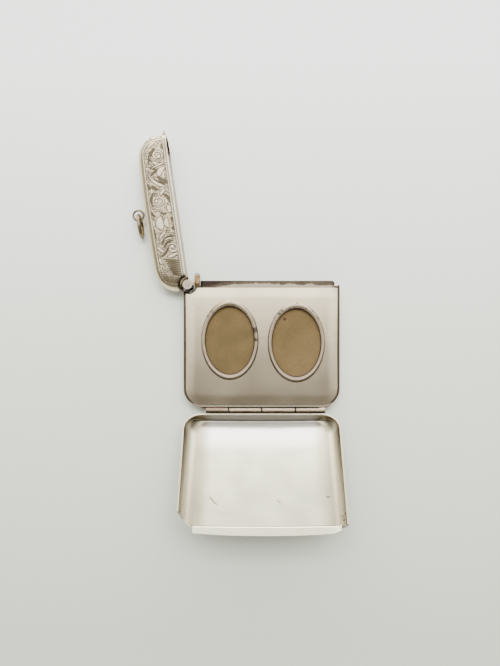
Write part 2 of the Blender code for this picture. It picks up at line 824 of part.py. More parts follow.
def make_suspension():
    """The loop on the lid's top with its small base, and the jump ring that hangs in it."""
    base = cylinder_mesh("loop_base", loop_base_radius, 0, loop_base_rise)
    foot = Vector((loop_x, lid_top_y + seat_gap, front_z / 2))
    place_mesh(base, Matrix.Translation(foot) @ along_y())
    add_object("loop_base", base, "polished_silver", lid_turn)
    centre = Vector((loop_x, loop_y, front_z / 2))
    loop = ring_mesh("ring_loop", loop_radius, loop_wire_radius, round_steps)
    place_mesh(loop, Matrix.Translation(centre))
    add_object("ring_loop", loop, "polished_silver", lid_turn)
    hung = Vector((loop_x - ring_offset, loop_y, ring_centre_z))
    ring = ring_mesh("jump_ring", ring_radius, ring_wire_radius, ring_steps)
    place_mesh(ring, Matrix.Translation(hung) @ along_y())
    add_object("jump_ring", ring, "satin_silver", ring_turn)


cover_turn = add_axis("cover_turn", cover_axis, (math.radians(cover_open_angle), 0, 0))
lid_turn = add_axis("lid_turn", lid_axis, (0, 0, math.radians(lid_open_angle)))
ring_turn = add_axis("ring_turn", Vector((loop_x, loop_y, 0)), carrier=lid_turn)

make_back_shell()
make_picture_plate()
make_frames()
make_backing_plate()
make_mouth_collar()
make_striker()
make_cover_hinge()
make_front_cover()
make_cover_lip()
make_lid_shell()
make_lid_hinge()
make_lid_spring()
make_thumb_lip()
make_suspension()
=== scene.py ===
# %% [markdown]
# # A silver vesta case, lying open on its back
# A vesta case is a pocket box for matches. This one hides a second thing: its whole front folds
# down from a hinge along the base, and behind it sit two oval picture frames.
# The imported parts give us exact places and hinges. Around them we build the finer silverwork:
# thin pressed sheet with rolled corners, engraved scrolls, oval bezels and worn, toned silver.
# All modelling is done in millimetres, and each finished piece is scaled to metres at the end.

import json
import math

import bmesh
import bpy
import numpy as np
from mathutils import Matrix, Vector


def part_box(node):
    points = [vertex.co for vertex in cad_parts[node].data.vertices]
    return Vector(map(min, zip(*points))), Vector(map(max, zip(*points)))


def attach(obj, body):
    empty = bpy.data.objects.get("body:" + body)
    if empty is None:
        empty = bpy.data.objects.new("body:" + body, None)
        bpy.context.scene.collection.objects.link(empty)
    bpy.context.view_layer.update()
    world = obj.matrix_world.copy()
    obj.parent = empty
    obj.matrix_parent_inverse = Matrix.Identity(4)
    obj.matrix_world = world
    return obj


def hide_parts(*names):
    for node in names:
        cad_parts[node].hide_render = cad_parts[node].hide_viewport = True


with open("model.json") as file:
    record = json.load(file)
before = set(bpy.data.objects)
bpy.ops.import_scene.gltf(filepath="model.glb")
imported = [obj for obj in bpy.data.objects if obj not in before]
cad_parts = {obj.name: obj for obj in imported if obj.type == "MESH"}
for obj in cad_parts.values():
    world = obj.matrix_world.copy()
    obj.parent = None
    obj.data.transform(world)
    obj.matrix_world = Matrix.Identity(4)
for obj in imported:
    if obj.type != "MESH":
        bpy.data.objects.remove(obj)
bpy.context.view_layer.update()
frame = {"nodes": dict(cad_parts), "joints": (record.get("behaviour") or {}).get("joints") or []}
joints = {joint["name"]: joint for joint in frame["joints"]}
MM = 0.001

# %% [markdown]
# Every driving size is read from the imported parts, so nothing has to be fitted by eye.
# A node's box gives its lowest and highest corners, here turned into millimetres.

# %% Sizes that the frame gives
def box_mm(node):
    low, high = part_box(node)
    return low / MM, high / MM


def middle_and_half(node):
    low, high = box_mm(node)
    return (low + high) / 2, (high - low) / 2


body_low, body_high = box_mm("back_shell")
half_width = body_high.x
mouth_y = body_high.y
base_y = body_low.y
body_depth = body_high.z
print("body", round(2 * half_width, 2), "by", round(mouth_y - base_y, 2), "by", round(body_depth, 2), "mm")

# %% [markdown]
# The lid and the front cover are easiest to shape in the closed case, where everything is square.
# Each joint's range says how far it has to turn to reach the closed case, so the opposite turn
# carries a finished piece to where it lies in the open one.

# %% Turns from the closed case to the open one
def opening_turn(name):
    joint = joints[name]
    place = Matrix.Translation(Vector(joint["pos_m"]) / MM)
    angle = -math.radians(joint["range_deg"][0])
    return place @ Matrix.Rotation(angle, 4, Vector(joint["axis"])) @ place.inverted()


LID_TURN = opening_turn("lid_hinge")
COVER_TURN = opening_turn("cover_hinge")
NO_TURN = Matrix.Identity(4)
lid_axis = Vector(joints["lid_hinge"]["pos_m"]) / MM
cover_axis = Vector(joints["cover_hinge"]["pos_m"]) / MM
print("lid axis", tuple(round(v, 2) for v in lid_axis), "cover axis", tuple(round(v, 2) for v in cover_axis))

# %% [markdown]
# ## Finishes
# Silver is almost all reflection, so what makes it look real is what disturbs that reflection:
# a warm film of toning, fine random scratches, and softly uneven polish. Shade in corners and gaps is painted in too.
# Each finish below is a small node tree on Object coordinates, so that the pattern stays on the metal.

# %% Helpers that add shader nodes
FINISHES = {}


def plug(tree, socket, value):
    """Gives a socket another node's output, a colour or a number."""
    if isinstance(value, bpy.types.NodeSocket):
        tree.links.new(value, socket)
    elif socket.type == "RGBA":
        socket.default_value = (*value, 1)
    else:
        socket.default_value = value


def add_node(tree, kind, links=None, **settings):
    """Adds a node. Settings are its properties, and links say what goes into its sockets."""
    node = tree.nodes.new("ShaderNode" + kind)
    for name, value in settings.items():
        setattr(node, name, value)
    for name, value in (links or {}).items():
        plug(tree, node.inputs[name], value)
    return node


def new_finish(name):
    finish = bpy.data.materials.new(name.replace(" ", "_"))
    finish.use_nodes = True
    FINISHES[name] = finish
    return finish.node_tree


def fill(tree, node, inputs):
    for name, value in inputs.items():
        plug(tree, tree.nodes[node].inputs[name], value)


def dress(tree, inputs, height, strength, distance):
    """Fills the sockets of a finish, and adds a bump whose distance is in millimetres."""
    bump = add_node(tree, "Bump", {"Height": height, "Strength": strength, "Distance": distance * MM})
    fill(tree, "Principled BSDF", {**inputs, "Normal": bump.outputs["Normal"]})


print("shader helpers ready")

# %% [markdown]
# Every pattern starts from a place on the metal, in millimetres. From there it is noise, sums and
# soft steps. A piece that was shaped in the closed case can also ask where it lies there.

# %% Places, noise and sums
def place_nodes(tree, scale=(1, 1, 1), turn=(0, 0, 0), shift=(0, 0, 0)):
    """Object coordinates in millimetres, stretched, turned or shifted as asked."""
    links = {"Vector": add_node(tree, "TexCoord").outputs["Object"], "Rotation": turn, "Location": shift,
             "Scale": tuple(part / MM for part in scale)}
    return add_node(tree, "Mapping", links).outputs["Vector"]


def closed_place(tree, turn):
    """Where a point of a turned piece lies in the closed case, in millimetres."""
    back = turn.inverted()
    return place_nodes(tree, turn=tuple(back.to_euler()), shift=tuple(back.translation))


def noise(tree, where, scale, detail=3.0, roughness=0.55, distortion=0.0):
    links = {"Vector": where, "Scale": scale, "Detail": detail, "Roughness": roughness, "Distortion": distortion}
    return add_node(tree, "TexNoise", links).outputs["Fac"]


def ramp(tree, value, *stops):
    """A colour ramp: each stop is (place, colour), and a colour may be one grey number."""
    node = add_node(tree, "ValToRGB", {"Fac": value})
    elements = node.color_ramp.elements
    while len(elements) < len(stops):
        elements.new(0.5)
    for element, (place, colour) in zip(elements, stops):
        element.position = place
        element.color = (*colour, 1) if isinstance(colour, tuple) else (colour, colour, colour, 1)
    return node.outputs["Color"]


def mix(tree, factor, first, second):
    return add_node(tree, "Mix", {0: factor, 6: first, 7: second}, data_type="RGBA").outputs[2]


def maths(tree, operation, first, second=0.0, clamp=False):
    return add_node(tree, "Math", {0: first, 1: second}, operation=operation, use_clamp=clamp).outputs[0]


def plus(tree, first, second, clamp=False):
    return maths(tree, "ADD", first, second, clamp)


def times(tree, first, second):
    return maths(tree, "MULTIPLY", first, second)


def soft_step(tree, value, start, full, low=0.0, high=1.0):
    """Goes smoothly from low at start to high at full."""
    links = {"Value": value, "From Min": start, "From Max": full, "To Min": low, "To Max": high}
    return add_node(tree, "MapRange", links, interpolation_type="SMOOTHSTEP").outputs["Result"]


print("pattern helpers ready")

# %% [markdown]
# One recipe serves all the silver, and its arguments say how polished, how toned and how scratched
# a piece is. Toning is a warm brown film; broad noise decides where it lies. Scratches are noise
# stretched into long thin streaks in two directions, and go into roughness and a very slight bump.

# %% The recipe for silver
WARM_SILVER = (0.90, 0.83, 0.71)
WARM_TONING = (0.56, 0.46, 0.31)
OLIVE_TONING_AND_SHADE = (0.40, 0.345, 0.21)
RIM_BROWN = (0.060, 0.042, 0.024)
DARK_TARNISH = (0.045, 0.032, 0.022)
# A near-black film of painted shade, laid in gaps, recesses and where one part meets another.
PAINTED_SHADE = (0.022, 0.015, 0.010)
SCRATCH_ROUGHNESS = 0.35
CLOUD_ROUGHNESS = 0.14


def scratches(tree, turn, density):
    streaks = noise(tree, place_nodes(tree, (0.35, 5.0, 5.0), (0, 0, turn)), density, 2.0)
    return ramp(tree, streaks, (0.60, 0.0), (0.74, 1.0))


def silver(name, polish, toning, worn, colour, tarnish=0.0, scale=0.12, dents=0.03, scored=0.25):
    tree = new_finish(name)
    where = place_nodes(tree)
    clouds = noise(tree, where, scale, 5.0, 0.6, 0.4)
    base = mix(tree, ramp(tree, clouds, (0.38, 0.0), (0.72, toning)), colour, WARM_TONING)
    grain = noise(tree, where, 2.4, 4.0, 0.65)
    base = mix(tree, ramp(tree, grain, (0.30, 0.16), (0.62, 0.0)), base, WARM_TONING)
    if tarnish:
        spots = noise(tree, where, 0.55, 6.0, 0.7, 0.8)
        base = mix(tree, ramp(tree, spots, (0.60, 0.0), (0.68, tarnish)), base, DARK_TARNISH)
    marks = plus(tree, scratches(tree, 0.5, 1.3), scratches(tree, -0.9, 0.9), clamp=True)
    rough = plus(tree, times(tree, marks, worn * SCRATCH_ROUGHNESS), polish)
    rough = plus(tree, rough, times(tree, noise(tree, where, scale, 1.0), CLOUD_ROUGHNESS))
    height = plus(tree, times(tree, marks, -scored), noise(tree, where, 0.28, 2.0))
    dress(tree, {"Base Color": base, "Roughness": rough, "Metallic": 1.0}, height, dents, 0.6)
    return tree


print("silver recipe ready")

# %% [markdown]
# The same metal looks different on every piece. The plate is bright and hardly touched, the ring is
# handled and almost brown, and the hinge tubes are speckled with tarnish. So each piece gets its
# own silver from the one recipe, which keeps them related.

# %% Every piece's own silver
for name, settings in {
    "plate silver": dict(polish=0.15, toning=0.15, worn=0.0, colour=(0.90, 0.785, 0.585), dents=0.02, scored=0.0),
    "shell silver": dict(polish=0.22, toning=0.45, worn=0.5, colour=WARM_SILVER),
    "hinge silver": dict(polish=0.20, toning=0.60, worn=0.8, colour=(0.45, 0.355, 0.265), tarnish=0.80, scale=0.5),
    "lid hinge silver": dict(polish=0.22, toning=0.4, worn=0.8, colour=(0.64, 0.56, 0.455), scale=0.6),
    "pin steel": dict(polish=0.32, toning=0.35, worn=0.8, colour=(0.55, 0.52, 0.48), tarnish=0.4, scale=0.6),
    "ring silver": dict(polish=0.24, toning=0.80, worn=0.8, colour=(0.17, 0.13, 0.09), tarnish=0.95, scale=0.6),
    "thumb silver": dict(polish=0.25, toning=0.5, worn=0.6, colour=(0.50, 0.45, 0.37)),
    **{f"{side} bezel silver": dict(polish=0.32, toning=0.45, worn=0.2, colour=(0.56, 0.455, 0.34), scale=0.35)
       for side in ("left", "right")},
    "lid silver": dict(polish=0.27, toning=0.35, worn=0.3, colour=(0.90, 0.77, 0.55), scale=0.25),
    "body silver": dict(polish=0.24, toning=0.55, worn=0.4, colour=WARM_SILVER, scale=0.25),
    "cover silver": dict(polish=0.13, toning=0.10, worn=0.15, colour=(0.76, 0.755, 0.575), dents=0.012, scored=0.08),
}.items():
    silver(name, **settings)
print("silver finishes", sorted(FINISHES))

# %% [markdown]
# Real silver is never evenly coloured. Fingers tone the edges, and rubbing leaves bright lines. Shade
# that falls in corners, gaps and recesses is painted in as dark films, and a few rims and crests get a
# painted highlight. Each of these is a film of one colour, laid where all its masks meet. Most
# masks are a soft edge at a place along one axis, which a little noise makes wander.

# %% Masks along an axis
def wandering(tree, value, where, amount, scale, detail, roughness=0.55):
    """The same value, moved about by noise of this amount."""
    shift = maths(tree, "SUBTRACT", noise(tree, where, scale, detail, roughness), 0.5)
    return plus(tree, value, times(tree, shift, amount))


def reach(tree, axis, start, full, wander=0.0, turn=NO_TURN):
    """0 at start and 1 at full, in millimetres along an axis. A capital letter is an axis of the closed case,
    a small one lies as the open case does, and bars round it count both sides alike."""
    letter = axis.strip("|")
    where = closed_place(tree, turn if letter.isupper() else NO_TURN)
    value = add_node(tree, "SeparateXYZ", {"Vector": where}).outputs[letter.upper()]
    if axis != letter:
        value = maths(tree, "ABSOLUTE", value)
    if wander:
        value = wandering(tree, value, where, wander, 0.45, 4.0)
    return soft_step(tree, value, start, full)


print("axis mask ready")

# %% [markdown]
# Other marks are round: painted shade about a hinge, a line along an oval, one spot or one scrape.
# They all measure how far a place lies from a centre, in the half widths of a box, so one helper
# does the measuring and the others only say where.

# %% Masks round a place
def flat_distance(tree, where, x, y, half_x=1.0, half_y=1.0, lean=0.0):
    """How far a place is from (x, y), measured in the half widths of a box that may lean."""
    away = add_node(tree, "VectorMath", {0: where, 1: (x, y, 0)}, operation="SUBTRACT").outputs[0]
    if lean:
        away = add_node(tree, "Mapping", {"Vector": away, "Rotation": (0, 0, -lean)}).outputs["Vector"]
    away = add_node(tree, "VectorMath", {0: away, 1: (1 / half_x, 1 / half_y, 0)}, operation="MULTIPLY").outputs[0]
    return add_node(tree, "VectorMath", {0: away}, operation="LENGTH").outputs["Value"]


def round_hinge(tree, start, full, wander=0.0):
    """A mask by the distance from the lid hinge's axis, in millimetres."""
    where = place_nodes(tree)
    away = flat_distance(tree, where, lid_axis.x, lid_axis.y)
    if wander:
        away = wandering(tree, away, where, wander, 0.9, 4.0)
    return soft_step(tree, away, start, full)


def oval_share(tree, node, turn=NO_TURN):
    """How far out a point lies on an oval that just fills a node's box: 0 in its middle, 1 on its line."""
    middle, half = middle_and_half(node)
    return flat_distance(tree, closed_place(tree, turn), middle.x, middle.y, half.x, half.y)


def smudge(tree, x, y, radius):
    """A mask for one ragged spot."""
    where = place_nodes(tree)
    away = wandering(tree, flat_distance(tree, where, x, y), where, 0.6, 1.7, 3.0)
    return soft_step(tree, away, radius, 0.35 * radius)


def scrape(tree, x, y, length, width, lean, turn):
    """A mask for one short scrape: its middle, half length, half width and lean."""
    where = closed_place(tree, turn)
    away = flat_distance(tree, where, x, y, length, width, lean)
    return soft_step(tree, plus(tree, away, times(tree, noise(tree, where, 1.6, 2.0), 0.8)), 1.5, 0.9)


print("masks ready")

# %% [markdown]
# A film can also follow a number that the modelling leaves on the points of a sheet, such as
# "inside", which is 1 on the sheet's hollow side.

# %% Films
def point_number(tree, name):
    return add_node(tree, "Attribute", attribute_name=name).outputs["Fac"]


def lay(name, *films, turn=NO_TURN):
    """Lays films on a finish. A film is (colour, amount, masks) and may end with the roughness it adds. A mask
    is a socket, the name of a number on the points, or an axis or "round" with what reach or round_hinge needs."""
    tree = FINISHES[name].node_tree
    colour_in, rough_in = (tree.nodes["Principled BSDF"].inputs[which] for which in ("Base Color", "Roughness"))
    for colour, amount, masks, *roughness in films:
        where = amount
        for mask in masks:
            if isinstance(mask, str):
                mask = point_number(tree, mask)
            elif isinstance(mask, tuple):
                mask = round_hinge(tree, *mask[1:]) if mask[0] == "round" else reach(tree, *mask, turn=turn)
            where = times(tree, mask, where)
        plug(tree, colour_in, mix(tree, where, colour_in.links[0].from_socket, colour))
        for added in roughness:
            plug(tree, rough_in, plus(tree, rough_in.links[0].from_socket, times(tree, where, added), clamp=True))


print("films ready")

# %% [markdown]
# A bezel has painted shade where it meets the plate along one side and round its inner edge, and a
# painted highlight along its crest. It is toned brown down its inner slope, more towards the bottom of
# the oval. One stretch of each bezel is darker with old dirt, and a few spots have gone black.

# %% Marks on the bezels
for side, shadow_lean, shadow_start, pitted, spots in (
    ("left", 0.55, -0.35, 0.35, (
        (-1.95, 4.65, 1.25), (-1.75, 1.75, 0.80), (-15.8, 8.8, 0.45), (-14.7, 10.2, 0.40), (-12.0, -10.6, 0.70))),
    ("right", -0.75, 0.10, 0.75, (
        (5.15, 9.5, 0.70), (5.9, 10.4, 0.55), (3.7, 8.3, 0.45), (16.6, 8.2, 0.45), (9.6, 11.2, 0.35))),
):
    tree = FINISHES[f"{side} bezel silver"].node_tree
    middle, half = middle_and_half(f"{side}_bezel")
    share = oval_share(tree, f"{side}_bezel")
    across = add_node(tree, "SeparateXYZ", {"Vector": place_nodes(tree)}).outputs
    drop = times(tree, maths(tree, "SUBTRACT", across["Y"], middle.y), -1 / half.y)
    lean = times(tree, maths(tree, "SUBTRACT", across["X"], middle.x), shadow_lean / half.x)
    # The side of the oval where painted shade lies along the bezel's foot.
    under = soft_step(tree, plus(tree, drop, lean), shadow_start, shadow_start + 0.35)
    inner_slope = soft_step(tree, share, 0.935, 0.925)
    clouds = soft_step(tree, noise(tree, place_nodes(tree), 0.30, 2.0), 0.45, 0.62)
    pits = soft_step(tree, noise(tree, place_nodes(tree), 1.15, 3.0, 0.6), 0.56, 0.66)
    lay(
        f"{side} bezel silver",
        ((0.40, 0.305, 0.215), 0.60, [clouds, inner_slope]),
        ((0.34, 0.265, 0.195), 0.85, [soft_step(tree, drop, -0.35, 0.60), inner_slope]),
        # Painted highlight along the crest.
        ((0.88, 0.79, 0.66), 0.55, [soft_step(tree, share, 0.918, 0.926), soft_step(tree, share, 0.942, 0.934)]),
        ((0.40, 0.32, 0.24), 0.60, [soft_step(tree, share, 0.940, 0.950)]),
        # Painted shade where the bezel meets the plate, on that side only.
        (PAINTED_SHADE, 0.92, [soft_step(tree, share, 0.972, 0.986), under], 0.2),
        # Painted shade round the inner edge.
        (PAINTED_SHADE, 0.85, [soft_step(tree, share, 0.874, 0.866)], 0.2),
        (DARK_TARNISH, pitted, [pits, soft_step(tree, drop, -0.15, -0.70)], 0.2),
        *[(DARK_TARNISH, 0.80, [smudge(tree, *spot)], 0.2) for spot in spots],
    )
print("bezels marked")

# %% [markdown]
# Engraved silver needs one thing more. The cuts hold polish and dirt that a cloth never reaches,
# so they stay dark while the raised leaves are rubbed bright. The modelling step below leaves
# numbers on every point of an engraved sheet, such as "cut" and "leaf", and these films read them.

# %% The engraved finish
def show_engraving(name, inside_shade):
    tree = FINISHES[name].node_tree
    stipple = ramp(tree, noise(tree, place_nodes(tree), 2.3, 2.0, 0.6), (0.40, 0.25), (0.60, 1.0))
    strokes = noise(tree, place_nodes(tree, (1.6, 2.6, 1.0), (0, 0, -0.5)), 1.0, 2.0, 0.5)
    lay(
        name,
        ((0.17, 0.125, 0.075), 0.62, ["ground", stipple]),
        ((0.95, 0.85, 0.65), 0.75, ["leaf"]),
        ((0.26, 0.19, 0.12), 0.34, ["leaf", ramp(tree, strokes, (0.50, 0.0), (0.60, 1.0))]),
        ((0.040, 0.029, 0.018), 0.95, ["cut"], 0.37),
        # The hollow side of a sheet is darkened with painted shade, by the amount its finish asks for.
        ((0.12, 0.085, 0.05), inside_shade, ["inside"]),
    )


for name, inside_shade in (("lid silver", 0.0), ("body silver", 0.6), ("cover silver", 0.0)):
    show_engraving(name, inside_shade)
print("engraved finishes ready")

# %% [markdown]
# The lid gets painted shade inside its top corner and round its hinge, a painted highlight along its
# rim and painted shade along its rounded top edge. The body's rim is brown, and painted shade lies round
# the hinge in the body, the plate and the shell. The hinge tubes have painted shade above, below and in
# the joints between them, and the lid's knuckles at their foot and in the gap round them.

# %% Marks on the lid, the body and the hinges
knuckle_foot = box_mm("lid_front_knuckle")[0].z
joint_places = [box_mm(node)[1].x for node in ("body_knuckle_left", "cover_knuckle_left", "body_knuckle_right")]
lay(
    "lid silver",
    # Painted shade inside the lid's top corner.
    ((0.05, 0.035, 0.022), 0.95, ["inside", ("X", 16.5, 20.5, 1.0)]),
    # Painted highlight along the lid's rim.
    ((0.92, 0.88, 0.80), 0.9, [("Y", mouth_y + 0.72, mouth_y + 0.46, 0.1), ("X", 18.5, 15.5, 1.0)]),
    # Painted shade round the hinge.
    (PAINTED_SHADE, 0.95, [("round", 3.4, 2.5, 0.6)], 0.2),
    # Painted shade along the rounded top edge.
    ((0.50, 0.42, 0.27), 0.60, [("Y", mouth_y + 7.0, mouth_y + 8.0, 0.3)]),
    turn=LID_TURN,
)
lay(
    "body silver",
    (RIM_BROWN, 0.90, [("Z", body_depth - 0.5, body_depth - 0.1, 0.5), ("Y", base_y + 0.3, base_y + 1.4, 1.2)], 0.15),
    # Painted shade round the hinge.
    (PAINTED_SHADE, 0.95, [("round", 3.6, 2.4, 0.6)], 0.2),
)
lay(
    "hinge silver",
    # Painted shade below the tubes, and on the next line above them.
    (PAINTED_SHADE, 0.94, [("Y", cover_axis.y - 0.36, cover_axis.y - 0.60, 0.15)]),
    (PAINTED_SHADE, 0.96, [("Y", cover_axis.y + 0.46, cover_axis.y + 0.68, 0.10), ("|X|", 18.0, 16.5, 1.0)]),
    ((0.15, 0.10, 0.07), 0.60, [("X", -8.0, -12.0, 3.0)]),
    # Painted shade in the joints between the tubes.
    *[(PAINTED_SHADE, 0.95, [("X", x - 0.28, x - 0.16), ("X", x + 0.36, x + 0.24)]) for x in joint_places],
)
lay(
    "lid hinge silver",
    # Painted shade at the knuckles' foot, and on the next line in the gap round them.
    (PAINTED_SHADE, 0.95, [("Z", knuckle_foot + 0.5, knuckle_foot - 0.1)], 0.2),
    (PAINTED_SHADE, 0.95, [("round", 1.36, 1.48), ("X", lid_axis.x + 0.9, lid_axis.x + 0.5)], 0.2),
)
lay("plate silver", ((0.60, 0.53, 0.39), 0.30, [("|X|", 15.5, 20.0, 1.0)]))
# Painted shade round the hinge, on the plate and the shell.
for shaded_near_hinge in ("plate silver", "shell silver"):
    lay(shaded_near_hinge, (PAINTED_SHADE, 0.95, [("round", 3.0, 2.55, 0.4)], 0.2))
print("hinge axis painted shade round", tuple(round(v, 2) for v in lid_axis))

# %% [markdown]
# The cover's hollow side has a painted highlight near its hinge, and olive toning deepened by painted
# shade up its walls. Painted shade lies along its base wall and in a band by its free end. It bears
# faint arcs and a few scrapes from the frames, and ragged dark spots by its free corners.

# %% Marks on the cover
tree = FINISHES["cover silver"].node_tree
arcs = []
for side in ("left", "right"):
    share = oval_share(tree, f"{side}_bezel", COVER_TURN)
    arcs.append(((0.55, 0.52, 0.45), 0.32, [
        "inside", soft_step(tree, share, 0.93, 0.97), soft_step(tree, share, 1.04, 0.99), ("Y", 4.0, 8.0, 3.0)]))
ragged = soft_step(tree, noise(tree, closed_place(tree, COVER_TURN), 1.0, 3.0, 0.6), 0.52, 0.62)
SCRAPES = ((-13.9, 8.7, 1.6, 0.30, 0.9), (-12.8, 10.0, 1.0, 0.24, 0.6), (4.6, 9.4, 0.9, 0.24, 0.8),
           (18.2, 8.0, 0.6, 0.45, 0.2))
lay(
    "cover silver",
    # Painted highlight near the hinge.
    ((0.99, 0.98, 0.93), 0.95, ["inside", ("Y", base_y + 11.5, base_y + 5.0, 1.0), ("|x|", 19.0, 15.0, 1.0)], 0.16),
    *arcs,
    # Olive toning up the walls, deepened by painted shade.
    ((0.46, 0.41, 0.30), 0.80, ["inside", ("|x|", 14.0, 18.6, 1.0)]),
    ((0.26, 0.225, 0.155), 0.70, ["inside", ("|x|", 18.0, 19.6, 0.8)]),
    (OLIVE_TONING_AND_SHADE, 0.92, ["inside", ("|x|", 19.8, 21.1, 0.6)], 0.10),
    # Painted shade along the base wall.
    ((0.15, 0.125, 0.10), 0.90, ["inside", ("Y", base_y + 0.85, base_y + 0.60, 0.15), ("|x|", 18.2, 17.0, 0.5)], 0.10),
    # Painted shade in a band by the free end.
    ((0.16, 0.12, 0.08), 0.85, [
        "inside", ("Y", mouth_y - 1.35, mouth_y - 1.10, 0.1), ("Y", mouth_y - 0.55, mouth_y - 0.80, 0.1)]),
    ((0.45, 0.40, 0.30), 0.75, [("|x|", 20.6, 21.6, 0.6)], 0.05),
    (DARK_TARNISH, 0.80, [ragged, ("|x|", 20.8, 21.8, 0.5), ("Y", mouth_y - 8.0, mouth_y - 3.0, 2.0)], 0.2),
    ((0.34, 0.30, 0.215), 0.55, ["inside", ("x", -14.0, -18.5, 1.0)]),
    ((0.36, 0.32, 0.24), 0.85, [("Z", body_depth + 0.60, body_depth + 0.30, 0.1)], 0.10),
    *[((0.16, 0.135, 0.10), 0.80, ["inside", scrape(tree, *place, COVER_TURN)]) for place in SCRAPES],
    turn=COVER_TURN,
)
print("cover marked with", len(SCRAPES), "scrapes")

# %% [markdown]
# The mouth's collar has gone almost black along its outer half, where no cloth reaches. Tarnish
# ends in an uneven line, so the height that decides the tone is moved up and down by broad noise.

# %% Tarnished collar
tree = new_finish("collar tarnish")
height = maths(tree, "SUBTRACT", add_node(tree, "SeparateXYZ", {"Vector": place_nodes(tree)}).outputs["Y"], mouth_y)
fine = noise(tree, place_nodes(tree, (2.5, 0.7, 1)), 1.0, 5.0, 0.7)
brown = mix(tree, ramp(tree, fine, (0.35, 0.0), (0.65, 1.0)), (0.065, 0.050, 0.036), (0.155, 0.125, 0.092))
waved = wandering(tree, height, place_nodes(tree, (1, 0.3, 0.3)), -2.4, 0.24, 3.0, 0.6)
waved = plus(tree, waved, times(tree, reach(tree, "X", -9.0, -14.0), 1.4))
rough = plus(tree, times(tree, fine, 0.3), 0.28)
dress(tree, {"Base Color": brown, "Roughness": rough, "Metallic": 0.85}, fine, 0.15, 0.2)
lay(
    "collar tarnish",
    ((0.46, 0.395, 0.30), 1.0, [soft_step(tree, waved, 0.52, 0.12)]),
    ((0.040, 0.028, 0.022), 1.0, [soft_step(tree, waved, 0.8, 1.5), ("X", 1.0, -9.0, 6.0)]),
    ((0.16, 0.13, 0.10), 1.0, [soft_step(tree, height, 1.80, 1.95)]),
)
print("collar finish ready")

# %% [markdown]
# The spring's brass has dulled in patches between brown and gold, so a broad noise chooses among
# three colours. Its foot is darker where it goes down into the mouth, and its tip is rubbed grey by the lid.

# %% Dull brass
tree = new_finish("dull brass")
clouds = noise(tree, place_nodes(tree), 0.7, 5.0, 0.65, 0.5)
fine = noise(tree, place_nodes(tree), 4.0, 4.0)
base = ramp(tree, clouds, (0.30, (0.10, 0.062, 0.026)), (0.52, (0.34, 0.225, 0.10)), (0.75, (0.52, 0.40, 0.22)))
rough = plus(tree, times(tree, fine, 0.25), 0.25)
dress(tree, {"Base Color": base, "Roughness": rough, "Metallic": 1.0}, fine, 0.1, 0.2)
lay(
    "dull brass",
    ((0.36, 0.345, 0.30), 0.85, [("Y", mouth_y + 2.7, mouth_y + 3.1, 0.3)]),
    ((0.07, 0.045, 0.02), 0.80, [("Y", mouth_y + 0.9, mouth_y + 0.2, 0.5)]),
)
print("brass finish ready")

# %% [markdown]
# Card is fibre pressed flat, so its finest noise is stretched one way. It hardly shines, and two
# dark stains lie near the top of the right one.

# %% Brown card
tree = new_finish("brown card")
broad = noise(tree, place_nodes(tree), 0.09, 3.0, 0.5, 0.3)
fibre = noise(tree, place_nodes(tree, (3.0, 0.7, 1.0), (0, 0, 0.4)), 1.6, 5.0, 0.7)
spots = noise(tree, place_nodes(tree), 0.34, 3.0, 0.5)
base = ramp(tree, broad, (0.35, (0.094, 0.067, 0.027)), (0.50, (0.122, 0.083, 0.035)), (0.66, (0.146, 0.096, 0.044)))
dress(tree, {"Base Color": base, "Roughness": 0.82, "Specular IOR Level": 0.25}, fibre, 0.25, 0.15)
lay(
    "brown card",
    ((0.060, 0.039, 0.015), 1.0, [ramp(tree, fibre, (0.32, 0.48), (0.62, 0.0))]),
    ((0.07, 0.03, 0.015), 1.0, [ramp(tree, spots, (0.70, 0.0), (0.76, 0.7))]),
    ((0.03, 0.010, 0.006), 0.85, [smudge(tree, 6.85, 7.85, 0.62)]),
    ((0.06, 0.02, 0.012), 0.6, [smudge(tree, 8.3, 7.0, 0.30)]),
)
print("finishes", len(FINISHES))

# %% [markdown]
# ## Shaping sheet silver
# Every wall of the case is thin sheet, pressed over a form. The same way of building suits that:
# a flat grid is wrapped onto the form by moving each of its points, then given its thickness.
# The grid keeps its rows and columns in order, so it can be as fine as the engraving needs.

# %% A grid wrapped onto a form
def even_points(points, count):
    """The same line, given again as count points at even distances along it."""
    points = np.array(points, float)
    steps = np.linalg.norm(np.diff(points, axis=0), axis=1)
    along = np.concatenate([[0], np.cumsum(steps)])
    wanted = np.linspace(0, along[-1], count)
    return np.stack([np.interp(wanted, along, points[:, i]) for i in range(points.shape[1])], axis=1)


def wrapped_grid(columns, rows, place):
    """A grid whose point in column i and row j is put at place(i, j). Also gives row 0's points in order."""
    bm = bmesh.new()
    bmesh.ops.create_grid(bm, x_segments=columns - 1, y_segments=rows - 1, size=1)
    first_row = [None] * columns
    for vert in bm.verts:
        column = round((vert.co.x + 1) / 2 * (columns - 1))
        row = round((vert.co.y + 1) / 2 * (rows - 1))
        vert.co = place(column, row)
        if row == 0:
            first_row[column] = vert
    return bm, first_row


def face_out(bm, way):
    """Turns an open sheet so that its outermost face that way looks that way."""
    bmesh.ops.recalc_face_normals(bm, faces=bm.faces)
    way = Vector(way)
    outermost = max(bm.faces, key=lambda f: f.calc_center_median().dot(way))
    if outermost.normal.dot(way) < 0:
        bmesh.ops.reverse_faces(bm, faces=bm.faces)
    return bm


def mesh_of(bm, name):
    mesh = bpy.data.meshes.new(name)
    bm.to_mesh(mesh)
    bm.free()
    return mesh


print("grid tools ready")

# %% [markdown]
# Modifiers do the work that would be tedious by hand: Solidify gives the sheet its thickness
# inwards, Boolean cuts the holes, and a small Bevel takes the sharpness off the sheet's edges so
# that they catch a line of light. The result is read back as a plain mesh.

# %% From sheet to metal
CUTTERS = []


